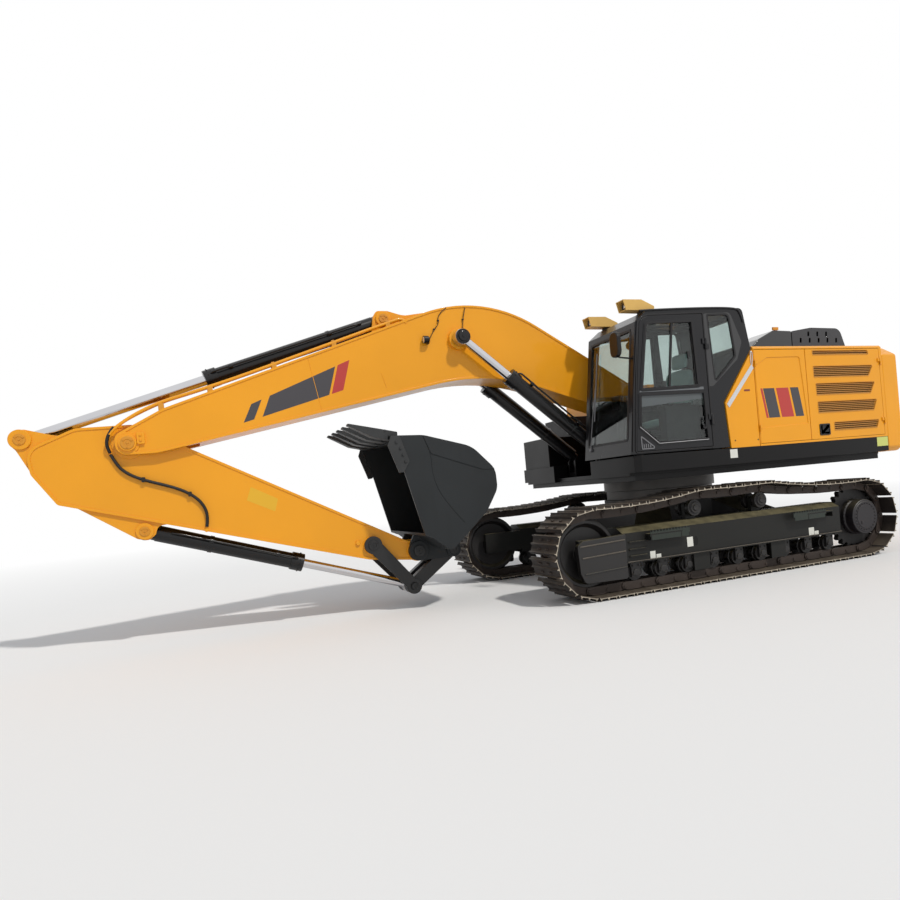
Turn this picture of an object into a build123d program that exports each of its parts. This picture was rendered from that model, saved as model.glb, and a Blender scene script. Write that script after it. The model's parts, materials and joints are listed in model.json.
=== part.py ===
from build123d import *
import math
import os

# Crawler excavator of the thirty tonne class, tracked, backhoe front.
# Frame: X forward, Y to the machine's left, Z up, origin on the swing axis at the ground.
# All sizes are in millimetres.

# Undercarriage
TRACK_GAUGE = 2590
SHOE_WIDTH = 600
SHOE_COUNT = 48
WHEEL_HALF_BASE = 1985
WHEEL_HEIGHT = 490
PITCH_RADIUS = 405
RAIL_DEPTH = 50
RAIL_THICKNESS = 45
PLATE_INNER = 30
PLATE_OUTER = 60
GROUSER_HEIGHT = 25
CARRIER_X = (553, -409)
CARRIER_RISE = 95
CARRIER_RADIUS = 93
SAG_FRONT = 40
SAG_MIDDLE = 12
SAG_REAR = 46
ROLLER_RADIUS = 88
ROLLER_COUNT = 9
ROLLER_SPAN = WHEEL_HALF_BASE - 565
FRAME_BOTTOM = 335
FRAME_TOP = 660
FRAME_HALF_WIDTH = 205
SPROCKET_TEETH = 25
FINAL_DRIVE_RADIUS = 205
CARBODY_HALF = 760
CARBODY_BOTTOM = 450
CARBODY_TOP = 960
RING_RADIUS = 690
RING_TOP = 1200
TOW_REACH = 80
TOW_NOSE = 75
TOW_BORE = 30
TOW_PLATE = 50

# Upper structure
DECK_BOTTOM = 1200
BEAM_BOTTOM = 1290
BEAM_TOP = 1475
BODY_HALF_WIDTH = 1470
BODY_TOP = 2650
BODY_REAR = -2560
DOOR_SPLIT = -1245
LEFT_FRONT = -435
TAIL_DEPTH = 630
TAIL_RADIUS = TAIL_DEPTH - BODY_REAR
TOWER_INNER = 256
TOWER_PLATE = 40
PANEL = 30
GAP = 6

# Running clearance at pins, rods and hinges
RUN = 0.3
BOOM_FOOT_PIN = 55
BOOM_TIP_PIN = 55
BOOM_FOOT_CYL_PIN = 46
ARM_CYL_PIN = 45
BUCKET_CYL_PIN = 42
ROCKER_BORE_PIN = 44
LINK_STUB = 42
BUCKET_PIN_RADIUS = 48
DOOR_AXIS = (247, 1478)
PANEL_AXIS_Y = BODY_HALF_WIDTH + 14
HOOD_AXIS = (-1322, 2675)

# Cab
CAB_RIGHT = 475
CAB_LEFT = 1457
CAB_FLOOR = 1490
CAB_WALL = 45
GLASS = 8

# Working equipment pins as (x, z)
BOOM_FOOT = (120, 2050)
BOOM_TIP = (6252, 2017)
BOOM_CYL_FOOT = (950, 1500)
BOOM_CYL_EYE = (2767, 3008)
ARM_CYL_FOOT = (3600, 3268)
ARM_TAIL = (7147, 2110)
BUCKET_CYL_FOOT = (6182, 1151)
ROCKER_PIN = (3954, 758)
LINK_PIN = (3534, 251)
BUCKET_PIN = (3450, 640)
EAR_PIN = (3040, 610)

# Working equipment widths
BOOM_HALF = 250
BOOM_CYL_Y = 360
ARM_HALF = 165
BUCKET_HALF = 730
LUG_INNER = 100
LUG_OUTER = 134
EYE_HALF = 90
BOOM_BARREL = 85
ARM_BARREL = 84
BUCKET_BARREL = 82
BOOM_ROD = 50
ARM_ROD = 53
BUCKET_ROD = 47
STEM_INSIDE = 270

os.makedirs("parts", exist_ok=True)


def slab(points, y0, y1):
    """Side view outline between two widths."""
    face = make_face(Polyline(*points, close=True))
    return extrude(Plane.XZ.offset(-y1) * face, amount=y1 - y0)


def pin(at, radius, y0, y1):
    """Round bar across the machine."""
    return extrude(Plane.XZ.offset(-y1) * Pos(at[0], at[1]) * Circle(radius), amount=y1 - y0)


def tube(at, radius, bore, y0, y1):
    """Round bushing across the machine."""
    ring = Circle(radius) - Circle(bore)
    return extrude(Plane.XZ.offset(-y1) * Pos(at[0], at[1]) * ring, amount=y1 - y0)


def block(x0, x1, y0, y1, z0, z1):
    """Box between its limits."""
    return Pos(x0, y0, z0) * Box(x1 - x0, y1 - y0, z1 - z0, align=(Align.MIN, Align.MIN, Align.MIN))


def bar(x0, x1, radius):
    """Round bar along X."""
    return Pos(x0, 0, 0) * extrude(Plane.YZ * Circle(radius), amount=x1 - x0)


def angle_of(a, b):
    """Side view angle from a to b in degrees."""
    return math.degrees(math.atan2(b[1] - a[1], b[0] - a[0]))


def length_of(a, b):
    """Side view distance."""
    return math.hypot(b[0] - a[0], b[1] - a[1])


def aimed(shape, at, aim, y=0):
    """Shape made along X from the origin, moved to a pin and turned to another."""
    return Pos(at[0], y, at[1]) * Rot(0, -angle_of(at, aim), 0) * shape


def along(at, aim, distance, side=0):
    """Point on the line from one pin to another, with an offset to its upper side."""
    a = math.radians(angle_of(at, aim))
    x = at[0] + distance * math.cos(a) - side * math.sin(a)
    return (x, at[1] + distance * math.sin(a) + side * math.cos(a))


def mirrored(shape):
    """The shape and its twin on the other side."""
    return shape + mirror(shape, about=Plane.XZ)


def save(name, shape):
    """Write one sub-part."""
    solids = shape.solids() if hasattr(shape, "solids") else shape
    out = solids[0] if len(solids) == 1 else Compound(children=list(solids))
    out.label = name
    export_step(out, f"parts/{name}.step")
    print(name, len(solids))


# Track

def track_path(offset, count=0):
    """Closed path of the chain at an offset from its pitch line."""
    low = WHEEL_HEIGHT - PITCH_RADIUS
    top = WHEEL_HEIGHT + PITCH_RADIUS
    knots = [
        (WHEEL_HALF_BASE - 40, top, SAG_FRONT),
        (CARRIER_X[0], top + CARRIER_RISE, SAG_MIDDLE),
        (CARRIER_X[1], top + CARRIER_RISE, SAG_REAR),
        (-WHEEL_HALF_BASE, top, 0),
    ]
    raw = []
    for a, b in zip(knots[:-1], knots[1:]):
        n = 5
        for i in range(n):
            s = i / n
            sag = a[2] * 4 * s * (1 - s)
            raw.append((a[0] + (b[0] - a[0]) * s, a[1] + (b[1] - a[1]) * s - sag))
    for i in range(19):
        a = math.pi / 2 + math.pi * i / 18
        x = -WHEEL_HALF_BASE + PITCH_RADIUS * math.cos(a)
        raw.append((x, WHEEL_HEIGHT + PITCH_RADIUS * math.sin(a)))
    raw.append((0, low))
    for i in range(18):
        a = -math.pi / 2 + math.pi * i / 18
        x = WHEEL_HALF_BASE + PITCH_RADIUS * math.cos(a)
        raw.append((x, WHEEL_HEIGHT + PITCH_RADIUS * math.sin(a)))
    return offset_loop(resampled(raw, count) if count else raw, offset)


def resampled(loop, count):
    """Closed loop of points at equal distances."""
    ring = loop + loop[:1]
    runs = [math.dist(a, b) for a, b in zip(ring[:-1], ring[1:])]
    total = sum(runs)
    out = []
    walked = 0
    k = 0
    for i in range(count):
        target = total * i / count
        while walked + runs[k] < target:
            walked += runs[k]
            k += 1
        s = (target - walked) / runs[k]
        a = ring[k]
        b = ring[k + 1]
        out.append((a[0] + (b[0] - a[0]) * s, a[1] + (b[1] - a[1]) * s))
    return out


def offset_loop(loop, offset):
    """Loop moved outward, each point along its mean normal."""
    out = []
    n = len(loop)
    for i in range(n):
        a = loop[i - 1]
        b = loop[(i + 1) % n]
        run = math.dist(a, b)
        nx = (b[1] - a[1]) / run
        nz = -(b[0] - a[0]) / run
        out.append((loop[i][0] + nx * offset, loop[i][1] + nz * offset))
    return out


def shoe_outline():
    """Outer edge of the chain of triple grouser shoes."""
    pins = track_path(0, SHOE_COUNT)
    tips = [
        (0.02, 0), (0.06, 1), (0.10, 1), (0.14, 0),
        (0.43, 0), (0.48, 0.9), (0.52, 0.9), (0.57, 0),
        (0.86, 0), (0.90, 1), (0.94, 1), (0.98, 0),
    ]
    out = []
    for i in range(SHOE_COUNT):
        a = pins[i]
        b = pins[(i + 1) % SHOE_COUNT]
        run = math.dist(a, b)
        tx = (b[0] - a[0]) / run
        tz = (b[1] - a[1]) / run
        for s, h in tips:
            d = PLATE_OUTER + GROUSER_HEIGHT * h
            out.append((a[0] + tx * run * s + tz * d, a[1] + tz * run * s - tx * d))
    return out


def track(side):
    """One chain with its shoes."""
    y = side * TRACK_GAUGE / 2
    half = SHOE_WIDTH / 2
    outer = make_face(Polyline(*shoe_outline(), close=True))
    inner = make_face(Polyline(*track_path(PLATE_INNER), close=True))
    shoes = extrude(Plane.XZ.offset(-y - half) * (outer - inner), amount=SHOE_WIDTH)
    rim = make_face(Polyline(*track_path(PLATE_INNER + 12), close=True))
    hole = make_face(Polyline(*track_path(-RAIL_DEPTH), close=True))
    rail = rim - hole
    for dy in (-115, 70):
        shoes += extrude(Plane.XZ.offset(-y - dy - RAIL_THICKNESS) * rail, amount=RAIL_THICKNESS)
    return shoes


def side_frame(side):
    """Roller frame with its front yoke, ribs and step plates."""
    y = side * TRACK_GAUGE / 2
    w = FRAME_HALF_WIDTH
    section = [
        (y - w, FRAME_BOTTOM), (y - w, FRAME_TOP), (y - 0.45 * w, FRAME_TOP + 55),
        (y + 0.45 * w, FRAME_TOP + 55), (y + w, FRAME_TOP), (y + w, FRAME_BOTTOM),
    ]
    hollow = [
        (y - w + 25, FRAME_BOTTOM), (y - w + 25, FRAME_TOP - 20), (y + w - 25, FRAME_TOP - 20),
        (y + w - 25, FRAME_BOTTOM),
    ]
    wheel = WHEEL_HALF_BASE
    x0 = 425 - wheel
    x1 = wheel - 395
    skin = extrude(Plane.YZ.offset(x0) * make_face(Polyline(*section, close=True)), amount=x1 - x0)
    room = extrude(
        Plane.YZ.offset(x0 + 30) * make_face(Polyline(*hollow, close=True)), amount=x1 - x0 - 60
    )
    frame = skin - room
    low = block(x0, x1, y - w, y + w, FRAME_BOTTOM, FRAME_BOTTOM + 20)
    frame += low
    for s in (-1, 1):
        a = y + s * (w - 70)
        b = y + s * w
        frame += block(x1 - 5, wheel + 135, min(a, b), max(a, b), 380, 640)
        frame += block(wheel - 85, wheel + 85, min(a, b), max(a, b), 395, 585)
    outer = y + side * w
    for z in (425, 500, 575):
        frame += block(x1 + 10, wheel + 130, min(outer, outer + side * 14), max(outer, outer + side * 14), z, z + 34)
    for x in (-1150, 1090):
        a = outer
        b = outer + side * 95
        frame += block(x - 210, x + 210, min(a, b), max(a, b), FRAME_TOP - 45, FRAME_TOP - 30)
        for e in (-200, 190):
            frame += block(x + e, x + e + 12, min(a, b), max(a, b), FRAME_TOP - 100, FRAME_TOP - 30)
    inner = y - side * (w - 1)
    for x in CARRIER_X:
        z = WHEEL_HEIGHT + PITCH_RADIUS + CARRIER_RISE - RAIL_DEPTH - CARRIER_RADIUS
        frame += block(x - 70, x + 70, y - 28, y + 28, FRAME_TOP + 50, z + 40)
        frame += pin((x, z - 5), 50, y - 60 + RUN, y + 60 - RUN)
    a = inner
    b = inner - side * 45
    frame += block(-wheel - 155, x0 + 60, min(a, b), max(a, b), 330, 650)
    frame += pin((-wheel, WHEEL_HEIGHT), 190, min(a, b), max(a, b))
    for x in (-560, 560):
        for s in (-1, 1):
            c = y + s * (w - 50)
            frame += block(x - 110, x + 110, min(c, c + s * 30), max(c, c + s * 30), 150, FRAME_BOTTOM + 5)
    return frame


def roller(x, z, y, radius, hub):
    """Flanged roller with its end hubs."""
    profile = [
        (0, hub), (60, hub), (66, radius + 12), (70, radius), (118, radius), (118, 40), (150, 40), (150, 0), (0, 0),
    ]
    half = revolve(Plane.XY * make_face(Polyline(*profile, close=True)), axis=Axis.X)
    whole = half + mirror(half, about=Plane.YZ)
    return Pos(x, y, z) * Rot(0, 0, 90) * whole


def rollers(side):
    """Bottom rollers hung in brackets below the frame."""
    y = side * TRACK_GAUGE / 2
    z = WHEEL_HEIGHT - PITCH_RADIUS + RAIL_DEPTH + ROLLER_RADIUS + 0.5
    out = []
    for i in range(ROLLER_COUNT):
        x = ROLLER_SPAN - 2 * ROLLER_SPAN * i / (ROLLER_COUNT - 1)
        one = roller(x, z, y, ROLLER_RADIUS, 60)
        for s in (-1, 1):
            c = y + s * 122
            one += block(x - 55, x + 55, min(c, c + s * 28), max(c, c + s * 28), z - 45, FRAME_BOTTOM)
        out.append(one)
    return out


def carriers(side):
    """Carrier rollers on their stub shafts."""
    y = side * TRACK_GAUGE / 2
    z = WHEEL_HEIGHT + PITCH_RADIUS + CARRIER_RISE - RAIL_DEPTH - CARRIER_RADIUS - 5
    out = []
    for x in CARRIER_X:
        for e in (-1, 1):
            tread = pin((x, z), CARRIER_RADIUS, min(y + e * 60, y + e * 122), max(y + e * 60, y + e * 122))
            if e == side:
                tread += pin((x, z), 62, min(y + e * 120, y + e * 138), max(y + e * 120, y + e * 138))
                tread += pin((x, z), 34, min(y + e * 130, y + e * 150), max(y + e * 130, y + e * 150))
            out.append(tread)
    return out


def idler(side):
    """Front idler with its shaft."""
    y = side * TRACK_GAUGE / 2
    radius = PITCH_RADIUS - RAIL_DEPTH - 3
    ring = [
        (0, 0), (0, radius + 26), (60, radius + 26), (66, radius), (112, radius), (112, radius - 34),
        (46, radius - 70), (46, 120), (134, 100), (134, 0),
    ]
    half = revolve(Plane.XY * make_face(Polyline(*ring, close=True)), axis=Axis.X)
    whole = half + mirror(half, about=Plane.YZ)
    return Pos(WHEEL_HALF_BASE, y, WHEEL_HEIGHT) * Rot(0, 0, 90) * whole


def sprocket(side):
    """Toothed drive ring on its hub."""
    y = side * TRACK_GAUGE / 2
    root = PITCH_RADIUS - 52
    tip = PITCH_RADIUS - 12
    points = []
    for i in range(SPROCKET_TEETH):
        for s, r in ((-0.36, root), (-0.16, tip), (0.16, tip), (0.36, root)):
            a = 2 * math.pi * (i + s) / SPROCKET_TEETH
            points.append((r * math.cos(a), r * math.sin(a)))
    gear = make_face(Polyline(*points, close=True)) - Circle(150)
    place = Pos(-WHEEL_HALF_BASE, y, WHEEL_HEIGHT) * Rot(90, 0, 0)
    return place * Pos(0, 0, -36) * extrude(gear, amount=72)


def final_drive(side):
    """Reduction gear case with its round cover."""
    y = side * TRACK_GAUGE / 2
    r = FINAL_DRIVE_RADIUS
    w = FRAME_HALF_WIDTH
    profile = [
        (-w + 1 + RUN, 0), (-w + 1 + RUN, 170), (-37, 170), (-37, 150), (37, 150), (37, r + 20), (80, r + 20), (95, r),
        (205, r), (222, r - 18), (222, 0),
    ]
    body = revolve(Plane.XY * make_face(Polyline(*profile, close=True)), axis=Axis.X)
    turn = 90 if side > 0 else -90
    return Pos(-WHEEL_HALF_BASE, y, WHEEL_HEIGHT) * Rot(0, 0, turn) * body


def carbody():
    """Centre section with four legs to the roller frames."""
    inner = TRACK_GAUGE / 2 - FRAME_HALF_WIDTH
    c = CARBODY_HALF
    body = block(-c, c, -640, 640, CARBODY_BOTTOM, CARBODY_TOP - 60)
    for sx in (-1, 1):
        for sy in (-1, 1):
            near = [
                (sx * 300, CARBODY_BOTTOM), (sx * c, CARBODY_BOTTOM), (sx * c, CARBODY_TOP - 60),
                (sx * 300, CARBODY_TOP - 60),
            ]
            far = [
                (sx * 620, CARBODY_BOTTOM - 60), (sx * 1180, CARBODY_BOTTOM - 60),
                (sx * 1180, FRAME_TOP - 40), (sx * 620, FRAME_TOP - 40),
            ]
            a = Plane.XZ.offset(-sy * 600) * make_face(Polyline(*near, close=True))
            b = Plane.XZ.offset(-sy * inner) * make_face(Polyline(*far, close=True))
            body += loft([a, b])
    ring = extrude(Plane.XY.offset(CARBODY_TOP - 60) * Circle(RING_RADIUS + 40), amount=60)
    body += ring
    return body


def tow_eye(end):
    """Round-nosed towing plate with an upright hole."""
    x = end * (CARBODY_HALF + TOW_REACH)
    plate = Plane.XY.offset(CARBODY_BOTTOM + 40)
    root = Pos(end * (CARBODY_HALF + TOW_REACH / 2), 0) * Rectangle(TOW_REACH, 2 * TOW_NOSE)
    outline = root + Pos(x, 0) * Circle(TOW_NOSE) - Pos(x, 0) * Circle(TOW_BORE)
    return extrude(plate * outline, amount=TOW_PLATE)


def slew_ring():
    """Toothless outer race between carbody and deck."""
    lower = Circle(RING_RADIUS) - Circle(RING_RADIUS - 130)
    upper = Circle(RING_RADIUS + 30) - Circle(RING_RADIUS - 130)
    ring = extrude(Plane.XY.offset(CARBODY_TOP) * lower, amount=110)
    ring += extrude(Plane.XY.offset(CARBODY_TOP + 110) * upper, amount=RING_TOP - CARBODY_TOP - 110 - RUN)
    return ring


def hinge_half(axis, z0, z1, reach, half, radius, pin_radius, tip):
    """Knuckle with its plate, either round the pin or carrying it up to a height."""
    x, y = axis
    knuckle = Pos(x, y, z0) * Cylinder(radius, z1 - z0, align=(Align.CENTER, Align.CENTER, Align.MIN))
    y0, y1 = half
    knuckle += block(min(x, x + reach), max(x, x + reach), min(y0, y1), max(y0, y1), z0, z1)
    if tip > z1:
        knuckle += Pos(x, y, z1 - 1) * Cylinder(pin_radius, tip - z1 + 1, align=(Align.CENTER, Align.CENTER, Align.MIN))
        return knuckle
    hole = Pos(x, y, z0 - 1) * Cylinder(pin_radius + RUN, z1 - z0 + 2, align=(Align.CENTER, Align.CENTER, Align.MIN))
    return knuckle - hole


# Upper structure

def tower_outline():
    """Centre plate that carries the boom foot and the boom cylinders."""
    return [
        (-900, DECK_BOTTOM + 70), (1090, DECK_BOTTOM + 70), (1090, BOOM_CYL_FOOT[1] + 30),
        (1040, BOOM_CYL_FOOT[1] + 95), (860, BOOM_CYL_FOOT[1] + 100), (700, BOOM_CYL_FOOT[1] + 260),
        (BOOM_FOOT[0] + 170, BOOM_FOOT[1] + 60), (BOOM_FOOT[0] + 90, BOOM_FOOT[1] + 150),
        (BOOM_FOOT[0] - 90, BOOM_FOOT[1] + 150), (BOOM_FOOT[0] - 200, BOOM_FOOT[1] + 20),
        (-520, 1640), (-900, 1560),
    ]


def upper_frame():
    """Deck, centre plates, side beams and pin bosses."""
    w = BODY_HALF_WIDTH
    d = w - 160
    frame = block(BODY_REAR, 1230, 10 - d, d - 10, DECK_BOTTOM, DECK_BOTTOM + 75)
    beam = [
        (1300, w - 170), (1300, w - 60), (1240, w), (BODY_REAR + 4, w), (BODY_REAR + 4, w - 170),
    ]
    left = extrude(Plane.XY.offset(BEAM_BOTTOM) * make_face(Polyline(*beam, close=True)), amount=BEAM_TOP - BEAM_BOTTOM)
    frame += mirrored(left)
    frame += block(BODY_REAR, 1240, -d, d, DECK_BOTTOM + 60, DECK_BOTTOM + 110)
    frame += mirrored(block(1100, 1300, 480, d, DECK_BOTTOM + 60, BEAM_TOP))
    frame += block(BODY_REAR, BODY_REAR + 200, -d, d, DECK_BOTTOM + 60, BEAM_TOP)
    y0 = TOWER_INNER
    y1 = TOWER_INNER + TOWER_PLATE
    plate = slab(tower_outline(), y0, y1)
    plate += pin(BOOM_FOOT, 120, y1 - 5, y1 + 30)
    c = BOOM_CYL_Y
    ear = [
        (830, DECK_BOTTOM + 60), (1090, DECK_BOTTOM + 60), (1090, BOOM_CYL_FOOT[1] + 20),
        (1030, BOOM_CYL_FOOT[1] + 95), (880, BOOM_CYL_FOOT[1] + 95), (830, BOOM_CYL_FOOT[1] + 20),
    ]
    plate += slab(ear, c + 66, c + 96)
    plate += block(830, 1090, y0, c + 96, DECK_BOTTOM + 60, BOOM_CYL_FOOT[1] - 125)
    plate += pin(BOOM_CYL_FOOT, BOOM_FOOT_CYL_PIN, y1 - 5, c + 70)
    frame += mirrored(plate)
    frame += pin(BOOM_FOOT, BOOM_FOOT_PIN, -y0 - 5, y0 + 5)
    frame += block(-900, -860, -y0 - 10, y0 + 10, DECK_BOTTOM + 60, 1560)
    for x in (120, 1180):
        for y in (600, 1340):
            mount = Cylinder(60, CAB_FLOOR - RUN - 1300, align=(Align.CENTER, Align.CENTER, Align.MIN))
            frame += Pos(x, y, 1300) * mount
    return frame


def counterweight():
    """Cast tail weight with a round back and bevelled top."""
    w = BODY_HALF_WIDTH
    x0 = BODY_REAR - RUN
    plan = Pos(x0 - 400, 0) * Rectangle(800, 2 * w) & Circle(TAIL_RADIUS)
    body = extrude(Plane.XY.offset(1280) * plan, amount=2640 - 1280)
    top = body.faces().sort_by(Axis.Z)[-1]
    rear = [e for e in top.edges() if e.center().X < x0 - 5]
    body = chamfer(rear, length=110, length2=130)
    bottom = body.faces().sort_by(Axis.Z)[0]
    rear = [e for e in bottom.edges() if e.center().X < x0 - 5]
    body = chamfer(rear, 60)
    return body


def housing_wall(points, z0, z1):
    """Plan outline raised between two heights."""
    return extrude(Plane.XY.offset(z0) * make_face(Polyline(*points, close=True)), amount=z1 - z0)


def engine_housing():
    """Sheet body behind the cab, open at its doors and below the hood."""
    w = BODY_HALF_WIDTH
    t = PANEL
    plan = [
        (BODY_REAR, -w), (DOOR_SPLIT, -w), (DOOR_SPLIT, 560), (LEFT_FRONT, 560), (LEFT_FRONT, w), (BODY_REAR, w),
    ]
    room = [
        (BODY_REAR + t, -w + t), (DOOR_SPLIT - t, -w + t), (DOOR_SPLIT - t, 560 + t),
        (LEFT_FRONT - t, 560 + t), (LEFT_FRONT - t, w - t), (BODY_REAR + t, w - t),
    ]
    body = housing_wall(plan, BEAM_TOP, BODY_TOP) - housing_wall(room, BEAM_TOP - 1, BODY_TOP - t)
    top_edges = [e for e in body.edges() if abs(e.center().Z - BODY_TOP) < 1 and abs(abs(e.center().Y) - w) < 1]
    body = chamfer(top_edges, 24)
    x0 = BODY_REAR + 45
    x1 = LEFT_FRONT - 8
    body -= block(x0, x1, w - t - 10, w + 10, BEAM_TOP + 25, BODY_TOP - 60)
    body -= block(x0, DOOR_SPLIT - 45, -w - 10, -w + t + 10, BEAM_TOP + 25, BODY_TOP - 60)
    body -= block(-2420, -1320, -760, 900, BODY_TOP - t - 10, BODY_TOP + 10)
    body += block(DOOR_SPLIT - 20, DOOR_SPLIT + 20, w - 90, w - t - 4, BEAM_TOP, BODY_TOP - t + 5)
    a = PANEL_AXIS_Y
    for z in PANEL_HINGES:
        body += hinge_half((BODY_REAR + 47, a), z, z + 40, -28, (w - 2, a - 4), 8, 5, z + 78)
        body += hinge_half((LEFT_FRONT - 10, a), z, z + 40, 9, (w - 2, a - 1), 8, 5, z + 78)
        body += mirror(hinge_half((BODY_REAR + 47, a), z, z + 40, -28, (w - 2, a - 4), 8, 5, z + 78), about=Plane.XZ)
    for y in HOOD_HINGES:
        body += hood_hinge(y, y + 50, 30, BODY_TOP - 2, y + 98)
    return body


def hood_hinge(y0, y1, reach, low, tip):
    """Knuckle of the hood, lying across the machine."""
    x, z = HOOD_AXIS
    knuckle = pin(HOOD_AXIS, 9, y0, y1)
    knuckle += block(min(x, x + reach), max(x, x + reach), y0, y1, low, z + 4)
    if tip:
        return knuckle + pin(HOOD_AXIS, 5, y1 - 1, tip)
    return knuckle - pin(HOOD_AXIS, 5 + RUN, y0 - 1, y1 + 1)


def left_front_panel():
    """Fixed panel behind the cab with its slanted front edge."""
    x1 = LEFT_FRONT + GAP
    points = [
        (x1, BEAM_TOP + RUN), (-4, BEAM_TOP + RUN), (31, 2002), (-424, 2606), (x1, 2610),
    ]
    return slab(points, 560, BODY_HALF_WIDTH - 3)


def service_door(x0, x1, side, hinge):
    """Flat door leaf with a raised field."""
    w = BODY_HALF_WIDTH * side
    z0 = BEAM_TOP + 29
    z1 = BODY_TOP - 64
    leaf = block(x0, x1, min(w, w - side * PANEL), max(w, w - side * PANEL), z0, z1)
    a = w - side * 12
    b = w + side * 12
    field = block(x0 + 60, x1 - 60, min(a, b), max(a, b), z0 + 70, z1 - 80)
    leaf += field
    y = PANEL_AXIS_Y
    x, reach = hinge
    for z in PANEL_HINGES:
        knuckle = hinge_half((x, y), z + 40 + RUN, z + 80, reach, (BODY_HALF_WIDTH - 2, y - 1), 8, 5, 0)
        leaf += knuckle if side > 0 else mirror(knuckle, about=Plane.XZ)
    return leaf


def engine_hood():
    """Raised black cover over the engine, slotted on its sides."""
    z0 = BODY_TOP + 4
    z1 = 2955
    lower = Plane.XY.offset(z0) * Pos(-1900, 70) * Rectangle(1130, 1700)
    upper = Plane.XY.offset(z1 - 20) * Pos(-1880, 70) * Rectangle(880, 1540)
    hood = loft([lower, upper])
    hood = fillet(hood.faces().sort_by(Axis.Z)[-1].edges(), 60)
    inner = loft([
        Plane.XY.offset(z0 - 1) * Pos(-1900, 70) * Rectangle(1070, 1640),
        Plane.XY.offset(z1 - 50) * Pos(-1880, 70) * Rectangle(820, 1480),
    ])
    hood -= inner
    plate = block(-2470, -1325, -790, 930, z0 - 3, z0 + 12)
    plate -= block(-2430, -1370, -745, 885, z0 - 10, z0 + 20)
    hood += plate
    for row, count in ((0, 5), (1, 4)):
        for i in range(count):
            x = -2180 + 140 * i + (0 if row == 0 else 40)
            hood -= block(x, x + 36, -1100, 1100, 2730 + 95 * row, 2790 + 95 * row)
    for y in HOOD_HINGES:
        hood += hood_hinge(y + 50 + RUN, y + 100, -40, z0 + 10, 0)
    return hood


def cab_profile(inset=0):
    """Side view of the cab."""
    s = inset
    return [
        (11 + s, CAB_FLOOR + s), (46 + s, 2008 + 0.3 * s), (-416 + s, 2621 + 0.3 * s), (-334 + s, 3098 - s),
        (300, 3092 - s), (1013 - s, 3046 - s), (1169 - s, 2925 - 0.4 * s), (1362 - s, CAB_FLOOR + s),
    ]


DOOR_HINGES = (1760, 2620)
PANEL_HINGES = (1640, 2400)
HOOD_HINGES = (-420, 520)

DOOR_OUTLINE = [
    (250, 1512), (1290, 1512), (1222, 2170), (1120, 2915), (1010, 2985), (250, 3030),
]
DOOR_UPPER = [(375, 2180), (1170, 2170), (1080, 2850), (1040, 2905), (375, 2955)]
DOOR_LOWER = [(375, 1680), (1215, 1680), (1180, 2090), (375, 2090)]
QUARTER_WINDOW = [(160, 2219), (185, 3020), (-134, 3030), (-170, 2900), (-190, 2547)]


def grown(points, amount):
    """Outline offset by a fixed amount."""
    face = make_face(Polyline(*points, close=True))
    return offset(face, amount, kind=Kind.INTERSECTION)


def slab_of(face, y0, y1):
    """Sketch in the side view between two widths."""
    return extrude(Plane.XZ.offset(-y1) * face, amount=y1 - y0)


def cab_front(z0, z1, d0, d1, y0, y1):
    """Band along the sloping front of the cab, by depth behind its face."""
    a = (1362, CAB_FLOOR)
    b = (1169, 2925)
    run = length_of(a, b)
    tx = (b[0] - a[0]) / run
    tz = (b[1] - a[1]) / run
    pts = []
    for z, d in ((z0, d0), (z1, d0), (z1, d1), (z0, d1)):
        s = (z - a[1]) / tz
        pts.append((a[0] + tx * s - d * tz, z + d * tx))
    return slab(pts, y0, y1)


def cab_shell():
    """Hollow cab with its window and door openings."""
    y0 = CAB_RIGHT
    y1 = CAB_LEFT
    body = slab(cab_profile(), y0, y1)
    edges = [e for e in body.edges().filter_by(Axis.Y) if e.center().Z > 3000]
    body = fillet(edges, 60)
    room = slab_of(grown(cab_profile(), -CAB_WALL), y0 + CAB_WALL, y1 - CAB_WALL)
    body -= room
    body -= slab_of(grown(DOOR_OUTLINE, 0), y1 - CAB_WALL - 5, y1 + 5)
    body -= slab_of(grown(QUARTER_WINDOW, 0), y1 - CAB_WALL - 5, y1 + 5)
    body -= slab_of(grown(QUARTER_WINDOW, 0), y0 - 5, y0 + CAB_WALL + 5)
    right = [(260, 2180), (1165, 2170), (1075, 2850), (1040, 2905), (260, 2975)]
    body -= slab(right, y0 - 5, y0 + CAB_WALL + 5)
    body -= cab_front(1640, 2860, -10, CAB_WALL + 12, y0 + 65, y1 - 65)
    body -= block(-480, -300, y0 + 90, y1 - 90, 2680, 3000)
    body -= block(120, 900, y0 + 230, y1 - 230, 3040, 3120)
    for z in DOOR_HINGES:
        body += hinge_half(DOOR_AXIS, z, z + 60, -45, (y1 - 2, DOOR_AXIS[1] - 4), 14, 8, z + 118)
    return body


def cab_windows():
    """Fixed panes of the cab."""
    y0 = CAB_RIGHT
    y1 = CAB_LEFT
    front = cab_front(1640, 2860, 12, 12 + GLASS, y0 + 65, y1 - 65)
    left = slab(QUARTER_WINDOW, y1 - 18, y1 - 10)
    right_rear = slab(QUARTER_WINDOW, y0 + 10, y0 + 18)
    right = slab([(260, 2180), (1165, 2170), (1075, 2850), (1040, 2905), (260, 2975)], y0 + 10, y0 + 18)
    return [front, left, right_rear, right]


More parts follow.
